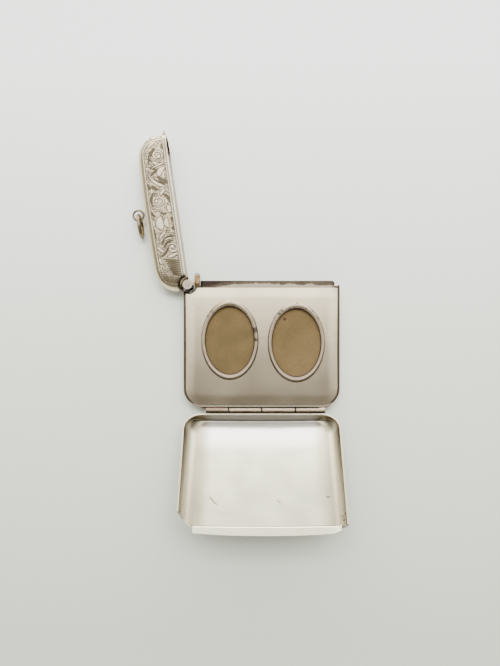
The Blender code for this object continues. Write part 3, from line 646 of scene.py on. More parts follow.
def add_object(name, data):
    thing = bpy.data.objects.new(name, data)
    bpy.context.scene.collection.objects.link(thing)
    return thing


def worked(mesh, *steps):
    """The mesh after its modifiers. Each step is (kind, settings)."""
    piece = add_object(mesh.name, mesh)
    for kind, settings in steps:
        change = piece.modifiers.new(kind, kind)
        for name, value in settings.items():
            setattr(change, name, value)
    graph = bpy.context.evaluated_depsgraph_get()
    result = bpy.data.meshes.new_from_object(piece.evaluated_get(graph))
    bpy.data.objects.remove(piece)
    result.name = mesh.name
    return result


def thick(thickness):
    return ("SOLIDIFY", {"thickness": thickness, "offset": -1, "use_even_offset": True})


def soft_edges(width, segments=2, angle=42):
    limit = math.radians(angle)
    return ("BEVEL", {"width": width, "segments": segments, "limit_method": "ANGLE", "angle_limit": limit})


def cut_by(mesh):
    """A Boolean step that removes this mesh's space."""
    CUTTERS.append(add_object(mesh.name, mesh))
    return ("BOOLEAN", {"object": CUTTERS[-1], "operation": "DIFFERENCE", "solver": "EXACT"})


print("sheet tools ready")

# %% [markdown]
# Every piece is shaped where it lies in the closed case. At the end it is turned with the body that
# carries it, scaled to metres and given its finish. It is hung on an empty named for the body that
# moves it, and the imported nodes that it stands for are hidden.

# %% Hanging a finished piece on its body
SHARP_ANGLE = 35
BODY_TURNS = {"case": NO_TURN, "lid": LID_TURN, "jump_ring": LID_TURN, "front_cover": COVER_TURN}


def finish_piece(name, mesh, finish, slot, body, *nodes):
    """Turns a mesh in millimetres to its place, scales it to metres, gives it its finish and hangs it on its body."""
    mesh.transform(BODY_TURNS[body])
    mesh.transform(Matrix.Diagonal((MM, MM, MM, 1)))
    mesh.name = name
    mesh.materials.clear()
    mesh.materials.append(FINISHES[finish])
    mesh.shade_smooth()
    mesh.set_sharp_from_angle(angle=math.radians(SHARP_ANGLE))
    piece = add_object(name, mesh)
    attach(piece, body)
    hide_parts(*nodes)
    while CUTTERS:
        bpy.data.objects.remove(CUTTERS.pop())
    print(name, len(mesh.polygons), "faces")


# %% [markdown]
# ## The forms that the case is pressed to
# Seen from its end, the closed case is a flat oval: its sides roll over in a quarter ellipse,
# wider than it is deep, while the front is very slightly crowned. Seen from the front, its base
# has round corners. The body, the cover and the lid are all cut from this one form.

# %% The section of the case
SHEET = 0.45
SIDE_ROUND = (4.8, 3.0)
BASE_CORNER = 5.3
BASE_ROUND = 0.8
CROWN = 0.4
RIM_GAP = 0.10
COVER_DEPTH = 3.25
COVER_RIM = body_depth + RIM_GAP
FRONT = COVER_RIM + COVER_DEPTH


def crowned(x, crown):
    return crown * (1 - (x / half_width) ** 2)


def section(depth, crown, count):
    """The section of a tray, from its right rim over its floor to its left rim, as (x, height over the floor)."""
    wide, deep = SIDE_ROUND
    turns = np.radians(np.linspace(0, 90, 25))
    points = [(half_width, depth)] if depth > deep else []
    points += [(half_width - wide * (1 - math.cos(turn)), deep * (1 - math.sin(turn))) for turn in turns]
    points += [(x, 0.0) for x in np.linspace(half_width - wide, 0, 16)[1:]]
    points = [(x, z - crowned(x, crown) * (1 - z / depth)) for x, z in points]
    points += [(-x, z) for x, z in reversed(points[:-1])]
    return [tuple(point) for point in even_points(points, count)]


print("case section", [tuple(round(float(v), 2) for v in p) for p in section(body_depth, 0, 5)])

# %% [markdown]
# A tray is that section carried along the case. Near the base its rows draw in and grow shallower,
# along a quarter circle, so that the corners come out round both ways as in pressed sheet.

# %% A tray with a round-cornered end
TRAY_COLUMNS = 250
TRAY_PITCH = 0.30


def sheet_rows(corner, edge_round, depth, length, pitch, steps=16, half=half_width):
    """A sheet's rows from its round-cornered end to its open one: (distance, width share, depth share)."""
    rows = []
    for turn in np.radians(np.linspace(90, 0, steps)):
        distance = corner * (1 - math.sin(turn))
        width = 1 - corner * (1 - math.cos(turn)) / half
        past = max(0.0, 1 - distance / edge_round)
        rows.append((distance, width, 1 - edge_round * (1 - math.sqrt(1 - past ** 2)) / depth))
    return rows + [(distance, 1, 1) for distance in np.arange(corner + pitch, length, pitch)] + [(length, 1, 1)]


def tray(name, high_y, depth, crown, rim, up):
    """A pressed tray with a closed base. Its floor is below its rim when up is 1, above it when up is -1."""
    profile = section(depth, crown, TRAY_COLUMNS)
    rows = sheet_rows(BASE_CORNER, BASE_ROUND, depth, high_y - base_y, TRAY_PITCH)

    def place(column, row):
        x, z = profile[column]
        distance, width, share = rows[row]
        return (x * width, base_y + distance, rim - up * (depth - z) * share)

    bm, end = wrapped_grid(TRAY_COLUMNS, len(rows), place)
    bm.faces.new(end)
    return mesh_of(face_out(bm, (0, 0, -up)), name)


print("tray tools ready")

# %% [markdown]
# ## Engraving
# The ornament is the traditional foliate scroll: curling stems that throw off rounded leaves.
# An engraver draws it with a few kinds of cut, so the script does too. A band is a line through
# the panel with a half width at each point. A leaf band is raised and outlined, a dark band is a
# cleared hollow, and a line band is a single cut. Later bands lie over earlier ones.

# %% Bands that an engraver cuts
def quadratic(start, middle, end, count=26):
    """A curved line that starts and ends at two points and bends towards the third."""
    t = np.linspace(0, 1, count)[:, None]
    start, middle, end = (np.array(point, float) for point in (start, middle, end))
    return (1 - t) ** 2 * start + 2 * t * (1 - t) * middle + t ** 2 * end


def spiral(centre, outer, inner, start, turns, sense):
    """A scroll that winds in from its outer radius to its inner one."""
    t = np.linspace(0, 1, int(34 * turns))
    angle = math.radians(start) + sense * math.tau * turns * t
    radius = outer + (inner - outer) * t ** 0.8
    return np.stack([centre[0] + radius * np.cos(angle), centre[1] + radius * np.sin(angle)], axis=1)


def band(kind, points, width, ends=(0.15, 0.15)):
    """A band along points: widest in its middle, with each end narrowed to a share of that."""
    t = np.linspace(0, 1, len(points))
    swell = np.sin(np.pi * t) ** 0.7
    share = np.maximum(swell, np.interp(t, [0, 1], ends))
    return {"kind": kind, "points": np.array(points, float), "width": width * share}


def leaf(start, middle, end, width, ends=(0.2, 0.1)):
    return band("leaf", quadratic(start, middle, end), width, ends)


def hollow(start, middle, end, width):
    return band("dark", quadratic(start, middle, end), width)


def cut_line(points, width=0.11):
    return {"kind": "line", "points": np.array(points, float), "width": np.full(len(points), width)}


print("band tools ready")

# %% [markdown]
# Three figures are made of such bands: a scroll with a round eye, the fan of small lobes that
# stands round it, and the curled leaves that fill whatever ground is left.

# %% Scrolls, lobes and leaves
LOBE_WIDTH = 0.26
LOBE_LEAN = math.radians(40)
FRAME_POINTS = 420


def scroll(centre, outer, start, turns, sense, width):
    """A curling stem that ends in a round eye."""
    points = spiral(centre, outer, 0.28 * outer, start, turns, sense)
    stem = {"kind": "leaf", "points": points, "width": np.linspace(0.55, 1.0, len(points)) * width}
    eye = {"kind": "leaf", "points": points[-1:], "width": np.array([1.45 * width])}
    return [stem, eye]


def lobes(centre, radius, start, end, count, length):
    """A fan of small leaves along the outside of a scroll."""
    made = []
    for angle in np.radians(np.linspace(start, end, count)):
        ahead = angle + LOBE_LEAN
        root = (centre[0] + radius * math.cos(angle), centre[1] + radius * math.sin(angle))
        bend = (root[0] + 0.6 * length * math.cos(angle), root[1] + 0.6 * length * math.sin(angle))
        tip = (root[0] + length * math.cos(ahead), root[1] + length * math.sin(ahead))
        made.append(leaf(root, bend, tip, LOBE_WIDTH, (0.5, 0.1)))
    return made


def small_leaves(bands, low, high, pitch, size, seed):
    """Curled leaves for the gaps: a place gets one only where no band lies yet."""
    random = np.random.default_rng(seed)
    made = []
    for x in np.arange(low[0], high[0], pitch):
        for y in np.arange(low[1], high[1], pitch):
            centre = np.array([x, y]) + random.uniform(-0.3, 0.3, 2) * pitch
            way = random.uniform(0, math.tau)
            ahead = np.array([math.cos(way), math.sin(way)]) * size
            across = np.array([-ahead[1], ahead[0]]) * 0.5
            curl = (centre - ahead, centre + across, centre + ahead)
            line = quadratic(*curl, 9)
            probe = np.concatenate([line, line + across * 0.5, line - across * 0.5])
            if engraved_amounts(probe, bands + made)[2].max() < 0.3:
                made.append(leaf(*curl, 0.26 * size / 0.5, (0.4, 0.1)))
    return made


def rounded_frame(left, right, low, high, low_radius, high_radius):
    """A closed outline with rounded corners, as points in order."""
    points = []
    for x, y, radius, start in (
        (right - low_radius, low + low_radius, low_radius, -90),
        (right - high_radius, high - high_radius, high_radius, 0),
        (left + high_radius, high - high_radius, high_radius, 90),
        (left + low_radius, low + low_radius, low_radius, 180),
    ):
        turns = np.radians(start + np.linspace(0, 90, 12))
        points += [(x + radius * math.cos(turn), y + radius * math.sin(turn)) for turn in turns]
    return even_points(points + points[:1], FRAME_POINTS)


print("scroll tools ready")

# %% [markdown]
# To cut the bands, every point of a sheet asks how far it lies from each of them, in shares of the
# band's half width. A leaf has a cut round its edge, and a broad one has a vein down its middle.

# %% How much each place is cut
EDGE_WIDTH = 0.10
VEIN_WIDTH = 0.06


def engraved_amounts(places, bands):
    """How far each place is cut, raised as leaf, or covered by any band."""
    cut, raised, covered = np.zeros((3, len(places)))
    for item in bands:
        points, width = item["points"], item["width"]
        margin = width.max() + 0.5
        near = np.all((places > points.min(0) - margin) & (places < points.max(0) + margin), axis=1)
        index = np.nonzero(near)[0]
        if not len(index):
            continue
        away = np.linalg.norm(places[index, None, :] - points[None, :, :], axis=2)
        share = away / width
        nearest = share.argmin(axis=1)
        rows = np.arange(len(index))
        share, here = share[rows, nearest], width[nearest]
        edge = np.exp(-(((share - 1) * here) / EDGE_WIDTH) ** 2)
        fullness = np.clip(1 - share ** 2, 0, 1)
        if item["kind"] == "line":
            cut[index] = np.maximum(cut[index], np.exp(-share ** 2))
            continue
        within = share < 1
        cut[index] = np.where(within, edge, np.maximum(cut[index], edge))
        covered[index] = np.maximum(covered[index], np.clip((1.15 - share) * 4, 0, 1))
        if item["kind"] == "dark":
            cut[index] = np.maximum(cut[index], 0.84 * np.clip(fullness * 2.2, 0, 1))
            raised[index] = np.where(within, 0, raised[index])
        else:
            vein = np.exp(-((share * here) / VEIN_WIDTH) ** 2) * 0.5 * (here > 0.45)
            cut[index] = np.maximum(cut[index], vein)
            raised[index] = np.where(within, fullness ** 0.6, raised[index])
    return cut, raised, covered


print("cuts ready")

# %% [markdown]
# The answers say how deep each point sinks, and they are kept as numbers that the finish reads.
# Metal is only ever cut away: the leaves are left standing at the sheet's own height, as a graver
# leaves them.

# %% Cutting the bands into a sheet
GROUND_SINK = 0.065
CUT_SINK = 0.035


def engrave(mesh, panels, centre):
    """Cuts panels into a mesh. A panel says how points lie in it, its bands, and where it has a sunk ground.
    Faces that look towards the centre are the sheet's inside."""
    count = len(mesh.vertices)
    place, normal = np.empty(count * 3), np.empty(count * 3)
    mesh.vertices.foreach_get("co", place)
    mesh.vertex_normals.foreach_get("vector", normal)
    place, normal = place.reshape(-1, 3), normal.reshape(-1, 3)
    totals = {name: np.zeros(count) for name in ("cut", "leaf", "ground")}
    totals["inside"] = (np.einsum("ij,ij->i", normal, place - np.array(centre)) < 0).astype(float)
    sunk = np.zeros(count)
    for to_panel, bands, in_frame in panels:
        flat, weight = to_panel(place, normal)
        weight = weight * (1 - totals["inside"])
        chosen = np.nonzero(weight > 0)[0]
        cut, raised, covered = engraved_amounts(flat[chosen], bands)
        ground = in_frame(flat[chosen]) * (1 - covered)
        depth = GROUND_SINK * in_frame(flat[chosen]) * (1 - raised) + CUT_SINK * cut
        sunk[chosen] = np.maximum(sunk[chosen], depth * weight[chosen])
        for name, amount in (("cut", cut), ("leaf", raised), ("ground", ground)):
            totals[name][chosen] = np.maximum(totals[name][chosen], amount * weight[chosen])
    place -= normal * sunk[:, None]
    mesh.vertices.foreach_set("co", place.ravel())
    for name, amount in totals.items():
        attribute = mesh.attributes.new(name, "FLOAT", "POINT")
        attribute.data.foreach_set("value", amount.astype(np.float32))
    mesh.update()
    print(mesh.name, "cut on", int((totals["cut"] > 0.4).sum()), "of", count, "points")


def facing(place, normal, side, middle_z):
    """How fully each point looks out of the front (side 1) or the back (side -1) of a sheet."""
    return np.clip((normal[:, 2] * side - 0.15) * 3, 0, 1) * ((place[:, 2] - middle_z) * side > 0)


print("engraving tools ready")

# %% [markdown]
# ## The lid
# The lid is a shallow cap with a slightly bowed top. Standing open it shows its front panel to the
# camera, so this is the piece whose ornament matters most. Its panel is laid out in the lid's own
# measures: millimetres from the hinge, and millimetres up from the rim.

# %% The lid's scrollwork
LID_HEIGHT = 8.45
LID_BOW = 0.7
LID_CORNER = 5.75
LID_RIM = mouth_y + RIM_GAP
LID_BORDER = 1.75

lid_left = -half_width - lid_axis.x
lid_right = half_width - lid_axis.x
lid_frame = (lid_left + LID_BORDER, lid_right - LID_BORDER, 0.85, LID_HEIGHT - 1.45)
frame_corner = LID_CORNER - LID_BORDER

LID_BANDS = [
    *lobes((38.3, 3.1), 2.35, 60, 265, 7, 1.0), *lobes((25.1, 4.2), 2.55, 150, 340, 7, 0.9),
    *lobes((10.9, 2.4), 1.95, 15, 205, 7, 0.9), *lobes((32.0, 3.3), 1.2, 100, 230, 4, 0.8),
    leaf((44.0, 1.2), (42.6, 4.2), (40.6, 5.6), 0.55), hollow((41.6, 1.2), (40.9, 1.6), (39.9, 1.1), 0.42),
    hollow((40.6, 3.2), (39.2, 5.4), (36.0, 5.6), 0.42), *scroll((38.3, 3.1), 2.1, 100, 1.35, 1, 0.40),
    leaf((39.8, 1.0), (37.4, 0.4), (35.2, 1.6), 0.50), leaf((36.8, 4.6), (35.6, 3.6), (35.4, 2.2), 0.48),
    hollow((35.2, 5.7), (34.6, 5.0), (34.4, 3.9), 0.26), hollow((32.5, 5.6), (33.6, 4.6), (34.5, 2.7), 0.34),
    leaf((34.5, 1.2), (33.9, 3.4), (32.0, 3.2), 0.80), leaf((35.9, 1.0), (35.6, 3.2), (34.5, 5.4), 0.34),
    hollow((32.2, 3.6), (31.0, 3.0), (29.7, 0.9), 0.52), hollow((31.4, 4.5), (30.2, 3.3), (29.6, 1.9), 0.22),
    leaf((32.8, 6.0), (29.4, 4.6), (28.7, 0.7), 0.46, (0.6, 0.3)),
    hollow((30.4, 6.6), (29.4, 6.6), (28.6, 6.0), 0.50), hollow((29.7, 5.5), (28.9, 5.1), (28.3, 4.2), 0.50),
    *scroll((25.1, 4.2), 2.3, 20, 1.2, 1, 0.36), hollow((27.8, 5.2), (26.0, 6.8), (23.6, 5.9), 0.24),
    leaf((28.3, 2.0), (27.6, 3.2), (26.4, 3.5), 0.50), hollow((26.9, 2.9), (26.0, 1.3), (24.0, 1.2), 0.40),
    leaf((27.9, 0.9), (25.6, 0.3), (23.2, 0.9), 0.34), leaf((23.6, 2.2), (22.4, 1.4), (21.2, 2.0), 0.60),
    hollow((23.0, 7.0), (21.4, 6.8), (20.6, 5.6), 0.30), hollow((21.6, 4.3), (20.9, 3.3), (21.3, 2.6), 0.26),
    leaf((20.6, 6.9), (19.0, 7.2), (17.8, 6.2), 0.62), leaf((20.4, 4.3), (18.3, 5.4), (16.6, 4.2), 1.05),
    leaf((20.0, 2.6), (18.4, 3.6), (16.9, 2.5), 0.66), hollow((20.0, 1.5), (19.3, 1.2), (18.8, 1.5), 0.36),
    hollow((17.1, 1.6), (16.6, 1.1), (16.1, 1.4), 0.36), hollow((17.0, 6.6), (15.6, 6.9), (14.4, 6.4), 0.36),
    leaf((16.2, 3.3), (15.2, 4.8), (13.7, 5.6), 0.44), hollow((12.2, 5.2), (14.9, 4.2), (14.3, 1.0), 0.32),
    leaf((13.3, 4.6), (14.2, 3.2), (13.7, 1.6), 0.30), hollow((11.3, 4.7), (13.2, 3.8), (13.2, 1.8), 0.28),
    *scroll((10.9, 2.4), 1.75, 60, 1.15, -1, 0.42), leaf((12.0, 6.6), (10.6, 5.8), (10.0, 4.7), 0.50),
    hollow((11.3, 3.6), (9.6, 4.2), (8.8, 6.0), 0.34), leaf((9.6, 1.1), (8.4, 2.6), (8.6, 4.2), 0.52),
    leaf((9.0, 6.3), (7.6, 6.6), (6.6, 5.9), 0.40),
    *[hollow((8.1 - 0.55 * step, 5.4 - 0.22 * step), (7.5 - 0.55 * step, 3.0), (7.1 - 0.55 * step, 1.0), 0.17)
      for step in range(9)],
]
LID_BANDS += small_leaves(LID_BANDS, (3.0, 1.2), (44.0, 6.8), 0.85, 0.42, 3)


print("lid bands", len(LID_BANDS))

# %% [markdown]
# The panel has a raised border with a cut line outside it, and a last line runs along the rim. A
# point of the lid lies in its panel by its distance from the hinge and its height, once the bow of
# the top is taken out. The back carries the same panel as the front.

# %% The lid's panel and border
def lid_panel(side):
    """The lid's front panel for side 1, its back one for side -1, as seen in the closed case."""
    def to_panel(place, normal):
        up = (place[:, 1] - LID_RIM) / (1 + crowned(place[:, 0], LID_BOW) / LID_HEIGHT)
        return np.stack([place[:, 0] - lid_axis.x, up], axis=1), facing(place, normal, side, FRONT / 2)
    return to_panel


def in_lid_frame(flat):
    left, right, low, high = lid_frame
    x, y = flat[:, 0], flat[:, 1]
    past_side = np.maximum(np.maximum(left + frame_corner - x, x - (right - frame_corner)), 0)
    past_top = np.maximum(y - (high - frame_corner), 0)
    return ((np.hypot(past_side, past_top) < frame_corner) & (y > low) & (x > left) & (x < right)).astype(float)


left, right, low, high = lid_frame
outline = rounded_frame(*lid_frame, 0.3, frame_corner)
LID_LINES = [
    {"kind": "leaf", "points": outline, "width": np.full(len(outline), 0.26)},
    cut_line(rounded_frame(left - 0.5, right + 0.5, low - 0.32, high + 0.45, 0.4, frame_corner + 0.4)),
    cut_line(quadratic((lid_left + 1.2, 0.40), (lid_right / 2, 0.40), (lid_right - 1.2, 0.40), 300), 0.12),
]
print("lid border lines", len(LID_LINES))

# %% [markdown]
# The cap was pressed in one piece. Here one closed section, back and front together, is carried
# from the rim to the top. There its rows draw in along a quarter circle and a last face closes it.
# The grid is fine, because the engraving moves its points instead of being only a bump.

# %% The lid's cap
LID_COLUMNS = 610
LID_PITCH = 0.17
LID_END_STEPS = 54
LID_TOP_ROUND = 1.6
HINGE_CLEARANCE = 2.1
CUT_PAST = 2.0
SAME_POINT = 0.002


def lid_mesh():
    profile = section(SIDE_ROUND[1] + 0.001, 0, LID_COLUMNS // 3)
    front = section(SIDE_ROUND[1] + 0.001, CROWN, LID_COLUMNS - LID_COLUMNS // 3)
    loop = profile + [(x, FRONT - z) for x, z in reversed(front)]
    loop.append(loop[0])
    middle = FRONT / 2
    rows = sheet_rows(LID_CORNER, LID_TOP_ROUND, middle, LID_HEIGHT, LID_PITCH, LID_END_STEPS)

    def place(column, row):
        x, z = loop[column]
        distance, width, share = rows[row]
        up = LID_HEIGHT - distance
        x *= width
        y = LID_RIM + up + crowned(x, LID_BOW) * up / LID_HEIGHT
        return (x, y, middle + (z - middle) * share)

    bm, end = wrapped_grid(len(loop), len(rows), place)
    bmesh.ops.remove_doubles(bm, verts=bm.verts, dist=SAME_POINT)
    top = {e for v in end if v.is_valid for e in v.link_edges if e.is_boundary}
    bmesh.ops.contextual_create(bm, geom=list(top))
    return mesh_of(face_out(bm, (0, 1, 0)), "lid_shell")


def rod_mesh(radius, low, high, segments):
    """A plain cylinder along Z, used as a cutter."""
    bm = bmesh.new()
    bmesh.ops.create_cone(bm, cap_ends=True, segments=segments, radius1=radius, radius2=radius, depth=high - low)
    bmesh.ops.translate(bm, vec=(0, 0, (low + high) / 2), verts=bm.verts)
    return mesh_of(bm, "rod")


def hinge_cut(radius):
    """A Boolean step that clears a round space about the lid hinge's axis."""
    rod = rod_mesh(radius, -CUT_PAST, FRONT + CUT_PAST, 64)
    rod.transform(Matrix.Translation((lid_axis.x, lid_axis.y, 0)))
    return cut_by(rod)


lid = worked(lid_mesh(), thick(SHEET), hinge_cut(HINGE_CLEARANCE))
engrave(lid, [(lid_panel(side), LID_BANDS + LID_LINES, in_lid_frame) for side in (1, -1)], (0, LID_RIM, FRONT / 2))
finish_piece("lid", lid, "lid silver", "engraved_silver", "lid", "lid_shell")

# %% [markdown]
# ## The body and the front cover
# Both are trays of the same outline, one twice as deep as the other. Their broad faces carry the
# same kind of scrollwork round an empty cartouche, where an owner's initials would go. It is drawn
# for one quarter, in shares of the panel's half width and half height, and mirrored to the others.

# %% Scrollwork for a broad face
PANEL_CORNER = 3.4
QUARTER_SCROLLS = (
    ((0.62, 0.60), 0.24, 200, 1.35, 1, 0.42), ((0.30, 0.78), 0.17, 0, 1.3, 1, 0.36),
    ((0.86, 0.24), 0.17, 90, 1.3, -1, 0.38),
)
QUARTER_CUTS = (
    (leaf, (0.02, 0.62), (0.20, 0.50), (0.36, 0.62), 0.55), (leaf, (0.40, 0.44), (0.52, 0.26), (0.70, 0.30), 0.60),
    (leaf, (0.74, 0.92), (0.90, 0.88), (0.92, 0.70), 0.70), (leaf, (0.88, 0.60), (0.98, 0.52), (0.94, 0.40), 0.48),
    (leaf, (0.02, 0.94), (0.14, 0.86), (0.18, 0.72), 0.42), (leaf, (0.46, 0.94), (0.56, 0.90), (0.64, 0.94), 0.42),
    (leaf, (0.72, 0.10), (0.66, 0.16), (0.60, 0.08), 0.42), (hollow, (0.36, 0.56), (0.44, 0.62), (0.42, 0.74), 0.34),
    (hollow, (0.80, 0.44), (0.74, 0.36), (0.64, 0.34), 0.34), (hollow, (0.50, 0.86), (0.62, 0.90), (0.72, 0.84), 0.34),
)


def broad_panel(half_x, half_y, side, middle_z):
    """A broad panel: bands on all four quarters, a cartouche in the middle and a double border."""
    quarter = []
    for (across, up), radius, *rest in QUARTER_SCROLLS:
        quarter += scroll((across * half_x, up * half_y), radius * half_y, *rest)
    for kind, *places, width in QUARTER_CUTS:
        quarter.append(kind(*[(across * half_x, up * half_y) for across, up in places], width))
    bands = [{**item, "points": item["points"] * np.array([across, up])}
             for across in (1, -1) for up in (1, -1) for item in quarter]
    oval = [(0.33 * half_x * math.cos(t), 0.42 * half_y * math.sin(t)) for t in np.linspace(0, math.tau, 120)]
    bands += [cut_line([(1.10 * x, 1.10 * y) for x, y in oval], 0.14), cut_line(oval, 0.10)]
    for inset, width in ((0.0, 0.16), (0.55, 0.10)):
        x, y = half_x + 0.9 - inset, half_y + 0.9 - inset
        bands.append(cut_line(rounded_frame(-x, x, -y, y, PANEL_CORNER, PANEL_CORNER), width))

    def to_panel(place, normal):
        return place[:, :2], facing(place, normal, side, middle_z)

    def in_frame(flat):
        within = (np.abs(flat[:, 0]) < half_x + 0.2) & (np.abs(flat[:, 1]) < half_y + 0.2)
        share = np.hypot(flat[:, 0] / (0.36 * half_x), flat[:, 1] / (0.46 * half_y))
        return (within & (share > 1)).astype(float)

    return to_panel, bands, in_frame


print("quarter cuts", len(QUARTER_CUTS))

# %% [markdown]
# The body is the deeper tray, seen from behind when the case is turned over. A round space is
# cleared at its corner, where the lid's hinge stands.

# %% The body
back = worked(tray("body_shell", mouth_y, body_depth, 0, body_depth, 1), thick(SHEET), hinge_cut(HINGE_CLEARANCE))
engrave(back, [broad_panel(half_width - 3.4, mouth_y - 3.0, -1, 0.2)], (0, 4, body_depth + 2))
finish_piece("body_shell", back, "body silver", "engraved_silver", "case", "back_shell")

# %% [markdown]
# The front cover's outside is engraved too, but the open case shows its inside: plain bright
# silver, rubbed in faint arcs where it has touched the frames. One corner is cut off on a slant
# to clear the lid's hinge.

# %% The front cover
COVER_END_GAP = 0.10
NOTCH = (4.1, 4.4)


def wedge_mesh(name, corners, low, high):
    """A flat outline drawn in XY and raised from low to high."""
    bm = bmesh.new()
    verts = [bm.verts.new((x, y, low)) for x, y in corners]
    face = bm.faces.new(verts)
    raised = bmesh.ops.extrude_face_region(bm, geom=[face])["geom"]
    bmesh.ops.translate(bm, vec=(0, 0, high - low), verts=[v for v in raised if isinstance(v, bmesh.types.BMVert)])
    bmesh.ops.recalc_face_normals(bm, faces=bm.faces)
    return mesh_of(bm, name)


side_cut, mouth_cut = NOTCH
over = CUT_PAST * side_cut / mouth_cut
notch = wedge_mesh("notch", [
    (-half_width - CUT_PAST, mouth_y - side_cut - over), (-half_width + mouth_cut + CUT_PAST, mouth_y + over),
    (-half_width - CUT_PAST, mouth_y + over),
], COVER_RIM - CUT_PAST, FRONT + CUT_PAST)
cover = tray("front_cover", mouth_y - COVER_END_GAP, COVER_DEPTH, CROWN, COVER_RIM, -1)
cover = worked(cover, thick(SHEET), cut_by(notch))
engrave(cover, [broad_panel(half_width - 4.4, mouth_y - 3.6, 1, FRONT - 1.2)], (0, 4, COVER_RIM - 2))
finish_piece("cover", cover, "cover silver", "polished_silver", "front_cover", "front_cover")

# %% [markdown]
# A strip along the cover's free end tucks under the lid when the case is shut. It follows the
# front's own curve, a sheet's thickness lower, so it is a grid laid on that curve. Its two corners
# are worn back.

# %% The cover's lip
LIP_OVERLAP = 0.7
LIP_STAND = 1.9
LIP_WEAR = 0.7
THIN_SHEET = 0.35
SEAT_GAP = 0.12


def under_front(x, inset):
    """Height of the surface that lies inset inside the front."""
    wide, deep = SIDE_ROUND[0] - inset, SIDE_ROUND[1] - inset
    past = max(0.0, abs(x) - (half_width - inset - wide)) / wide
    drop = deep * (1 - math.sqrt(max(0.0, 1 - past ** 2)))
    return FRONT - inset - drop + crowned(x, CROWN) * (1 - drop / COVER_DEPTH)


NOTCH_SIDE_INSET, FREE_SIDE_INSET = 4.3, 1.6
lip_low, lip_high = NOTCH_SIDE_INSET - half_width, half_width - FREE_SIDE_INSET
lip_columns, lip_rows = 90, 9
lip_edge = mouth_y - COVER_END_GAP - LIP_OVERLAP


def lip_place(column, row):
    x = lip_low + (lip_high - lip_low) * column / (lip_columns - 1)
    worn = LIP_WEAR * abs(2 * column / (lip_columns - 1) - 1) ** 2.5
    y = lip_edge + (LIP_OVERLAP + COVER_END_GAP + LIP_STAND - worn) * row / (lip_rows - 1)
    return (x, y, under_front(x, SHEET + SEAT_GAP))


bm, _ = wrapped_grid(lip_columns, lip_rows, lip_place)
lip = worked(mesh_of(face_out(bm, (0, 0, 1)), "cover_lip"), thick(THIN_SHEET), soft_edges(0.10))
finish_piece("cover_lip_strip", lip, "cover silver", "polished_silver", "front_cover", "cover_lip")

# %% [markdown]
# ## The picture plate
# The plate closes the body like a tight lid. Its middle stands a little proud of its edges, in a
# soft pillow that spreads the light, and two oval windows are pierced in it for the pictures.

# %% The plate with its windows
plate_low, plate_high = box_mm("picture_plate")
PLATE_SHEET = 0.40
PLATE_COLUMNS = 120
PLATE_PITCH = 0.4
PILLOW_WIDTH = 3.2
PILLOW_HEIGHT = 0.4
PLATE_CROWN = 0.70
WINDOW_INSET = 1.0
HINGE_GAP = 2.35
UNDER_PLATE, OVER_PLATE = 4, 9
plate_rim = plate_high.z - PILLOW_HEIGHT


def window(side):
    """A Boolean step that pierces an oval window a little inside its bezel's outline."""
    middle, half = middle_and_half(f"{side}_bezel")
    rod = rod_mesh(1.0, UNDER_PLATE, OVER_PLATE, 128)
    size = Matrix.Diagonal((half.x - WINDOW_INSET, half.y - WINDOW_INSET, 1, 1))
    rod.transform(Matrix.Translation((middle.x, middle.y, 0)) @ size)
    return cut_by(rod)


def pillow(distance):
    return math.sin(math.radians(90) * min(1.0, max(0.0, distance) / PILLOW_WIDTH))


def plate_mesh():
    half = plate_high.x
    height = plate_high.y - plate_low.y
    # The plate's own pillow gives its depth, so the depth shares are left unused.
    rows = sheet_rows(BASE_CORNER - SHEET - SEAT_GAP, 1, 1, height, PLATE_PITCH, half=half)

    def place(column, row):
        x = half * (2 * column / (PLATE_COLUMNS - 1) - 1)
        distance, width, _ = rows[row]
        share = pillow(half - abs(x)) * pillow(min(distance, height - distance))
        crown = 1 - ((distance - height / 2) / (height / 2)) ** 2
        rise = PILLOW_HEIGHT * share * (1 - PLATE_CROWN + PLATE_CROWN * crown)
        return (x * width, plate_low.y + distance, plate_rim + rise)

    bm, _ = wrapped_grid(PLATE_COLUMNS, len(rows), place)
    return mesh_of(face_out(bm, (0, 0, 1)), "picture_plate")


plate = worked(plate_mesh(), thick(PLATE_SHEET), window("left"), window("right"), hinge_cut(HINGE_GAP))
finish_piece("picture_plate_sheet", plate, "plate silver", "satin_silver", "case", "picture_plate")

# %% [markdown]
# ## The oval bezels and the cards behind them
# A bezel is drawn wire bent into an oval. It is easiest to turn its section into a round ring and
# then press the ring narrower. The section is given in shares of the wire's width and height.

# %% Bezels
BEZEL_WIDTH = 1.85
BEZEL_SHAPE = (
    (0.0, 0.62), (0.04, 0.74), (0.14, 0.80), (0.34, 0.87), (0.46, 0.94), (0.54, 1.0), (0.62, 0.98), (0.72, 0.86),
    (0.84, 0.64), (0.94, 0.38), (1.0, 0.14),
)


def turned(name, profile, steps=144):
    """A closed loop of (radius, height) spun once round Z."""
    bm = bmesh.new()
    verts = [bm.verts.new((radius, 0, height)) for radius, height in profile]
    edges = [bm.edges.new((a, b)) for a, b in zip(verts, verts[1:] + verts[:1])]
    bmesh.ops.spin(bm, geom=verts + edges, cent=(0, 0, 0), axis=(0, 0, 1), angle=math.tau, steps=steps, use_merge=True)
    bmesh.ops.remove_doubles(bm, verts=bm.verts, dist=0.001)
    bmesh.ops.recalc_face_normals(bm, faces=bm.faces)
    return mesh_of(bm, name)


def bezel_profile(outer, low, high):
    """From the plate it rises in a soft shoulder to a crest, then slopes down inside to the card."""
    inner = outer - BEZEL_WIDTH
    width, rise = outer - inner, high - low
    return [(outer, low), (inner, low)] + [(inner + width * across, low + rise * up) for across, up in BEZEL_SHAPE]


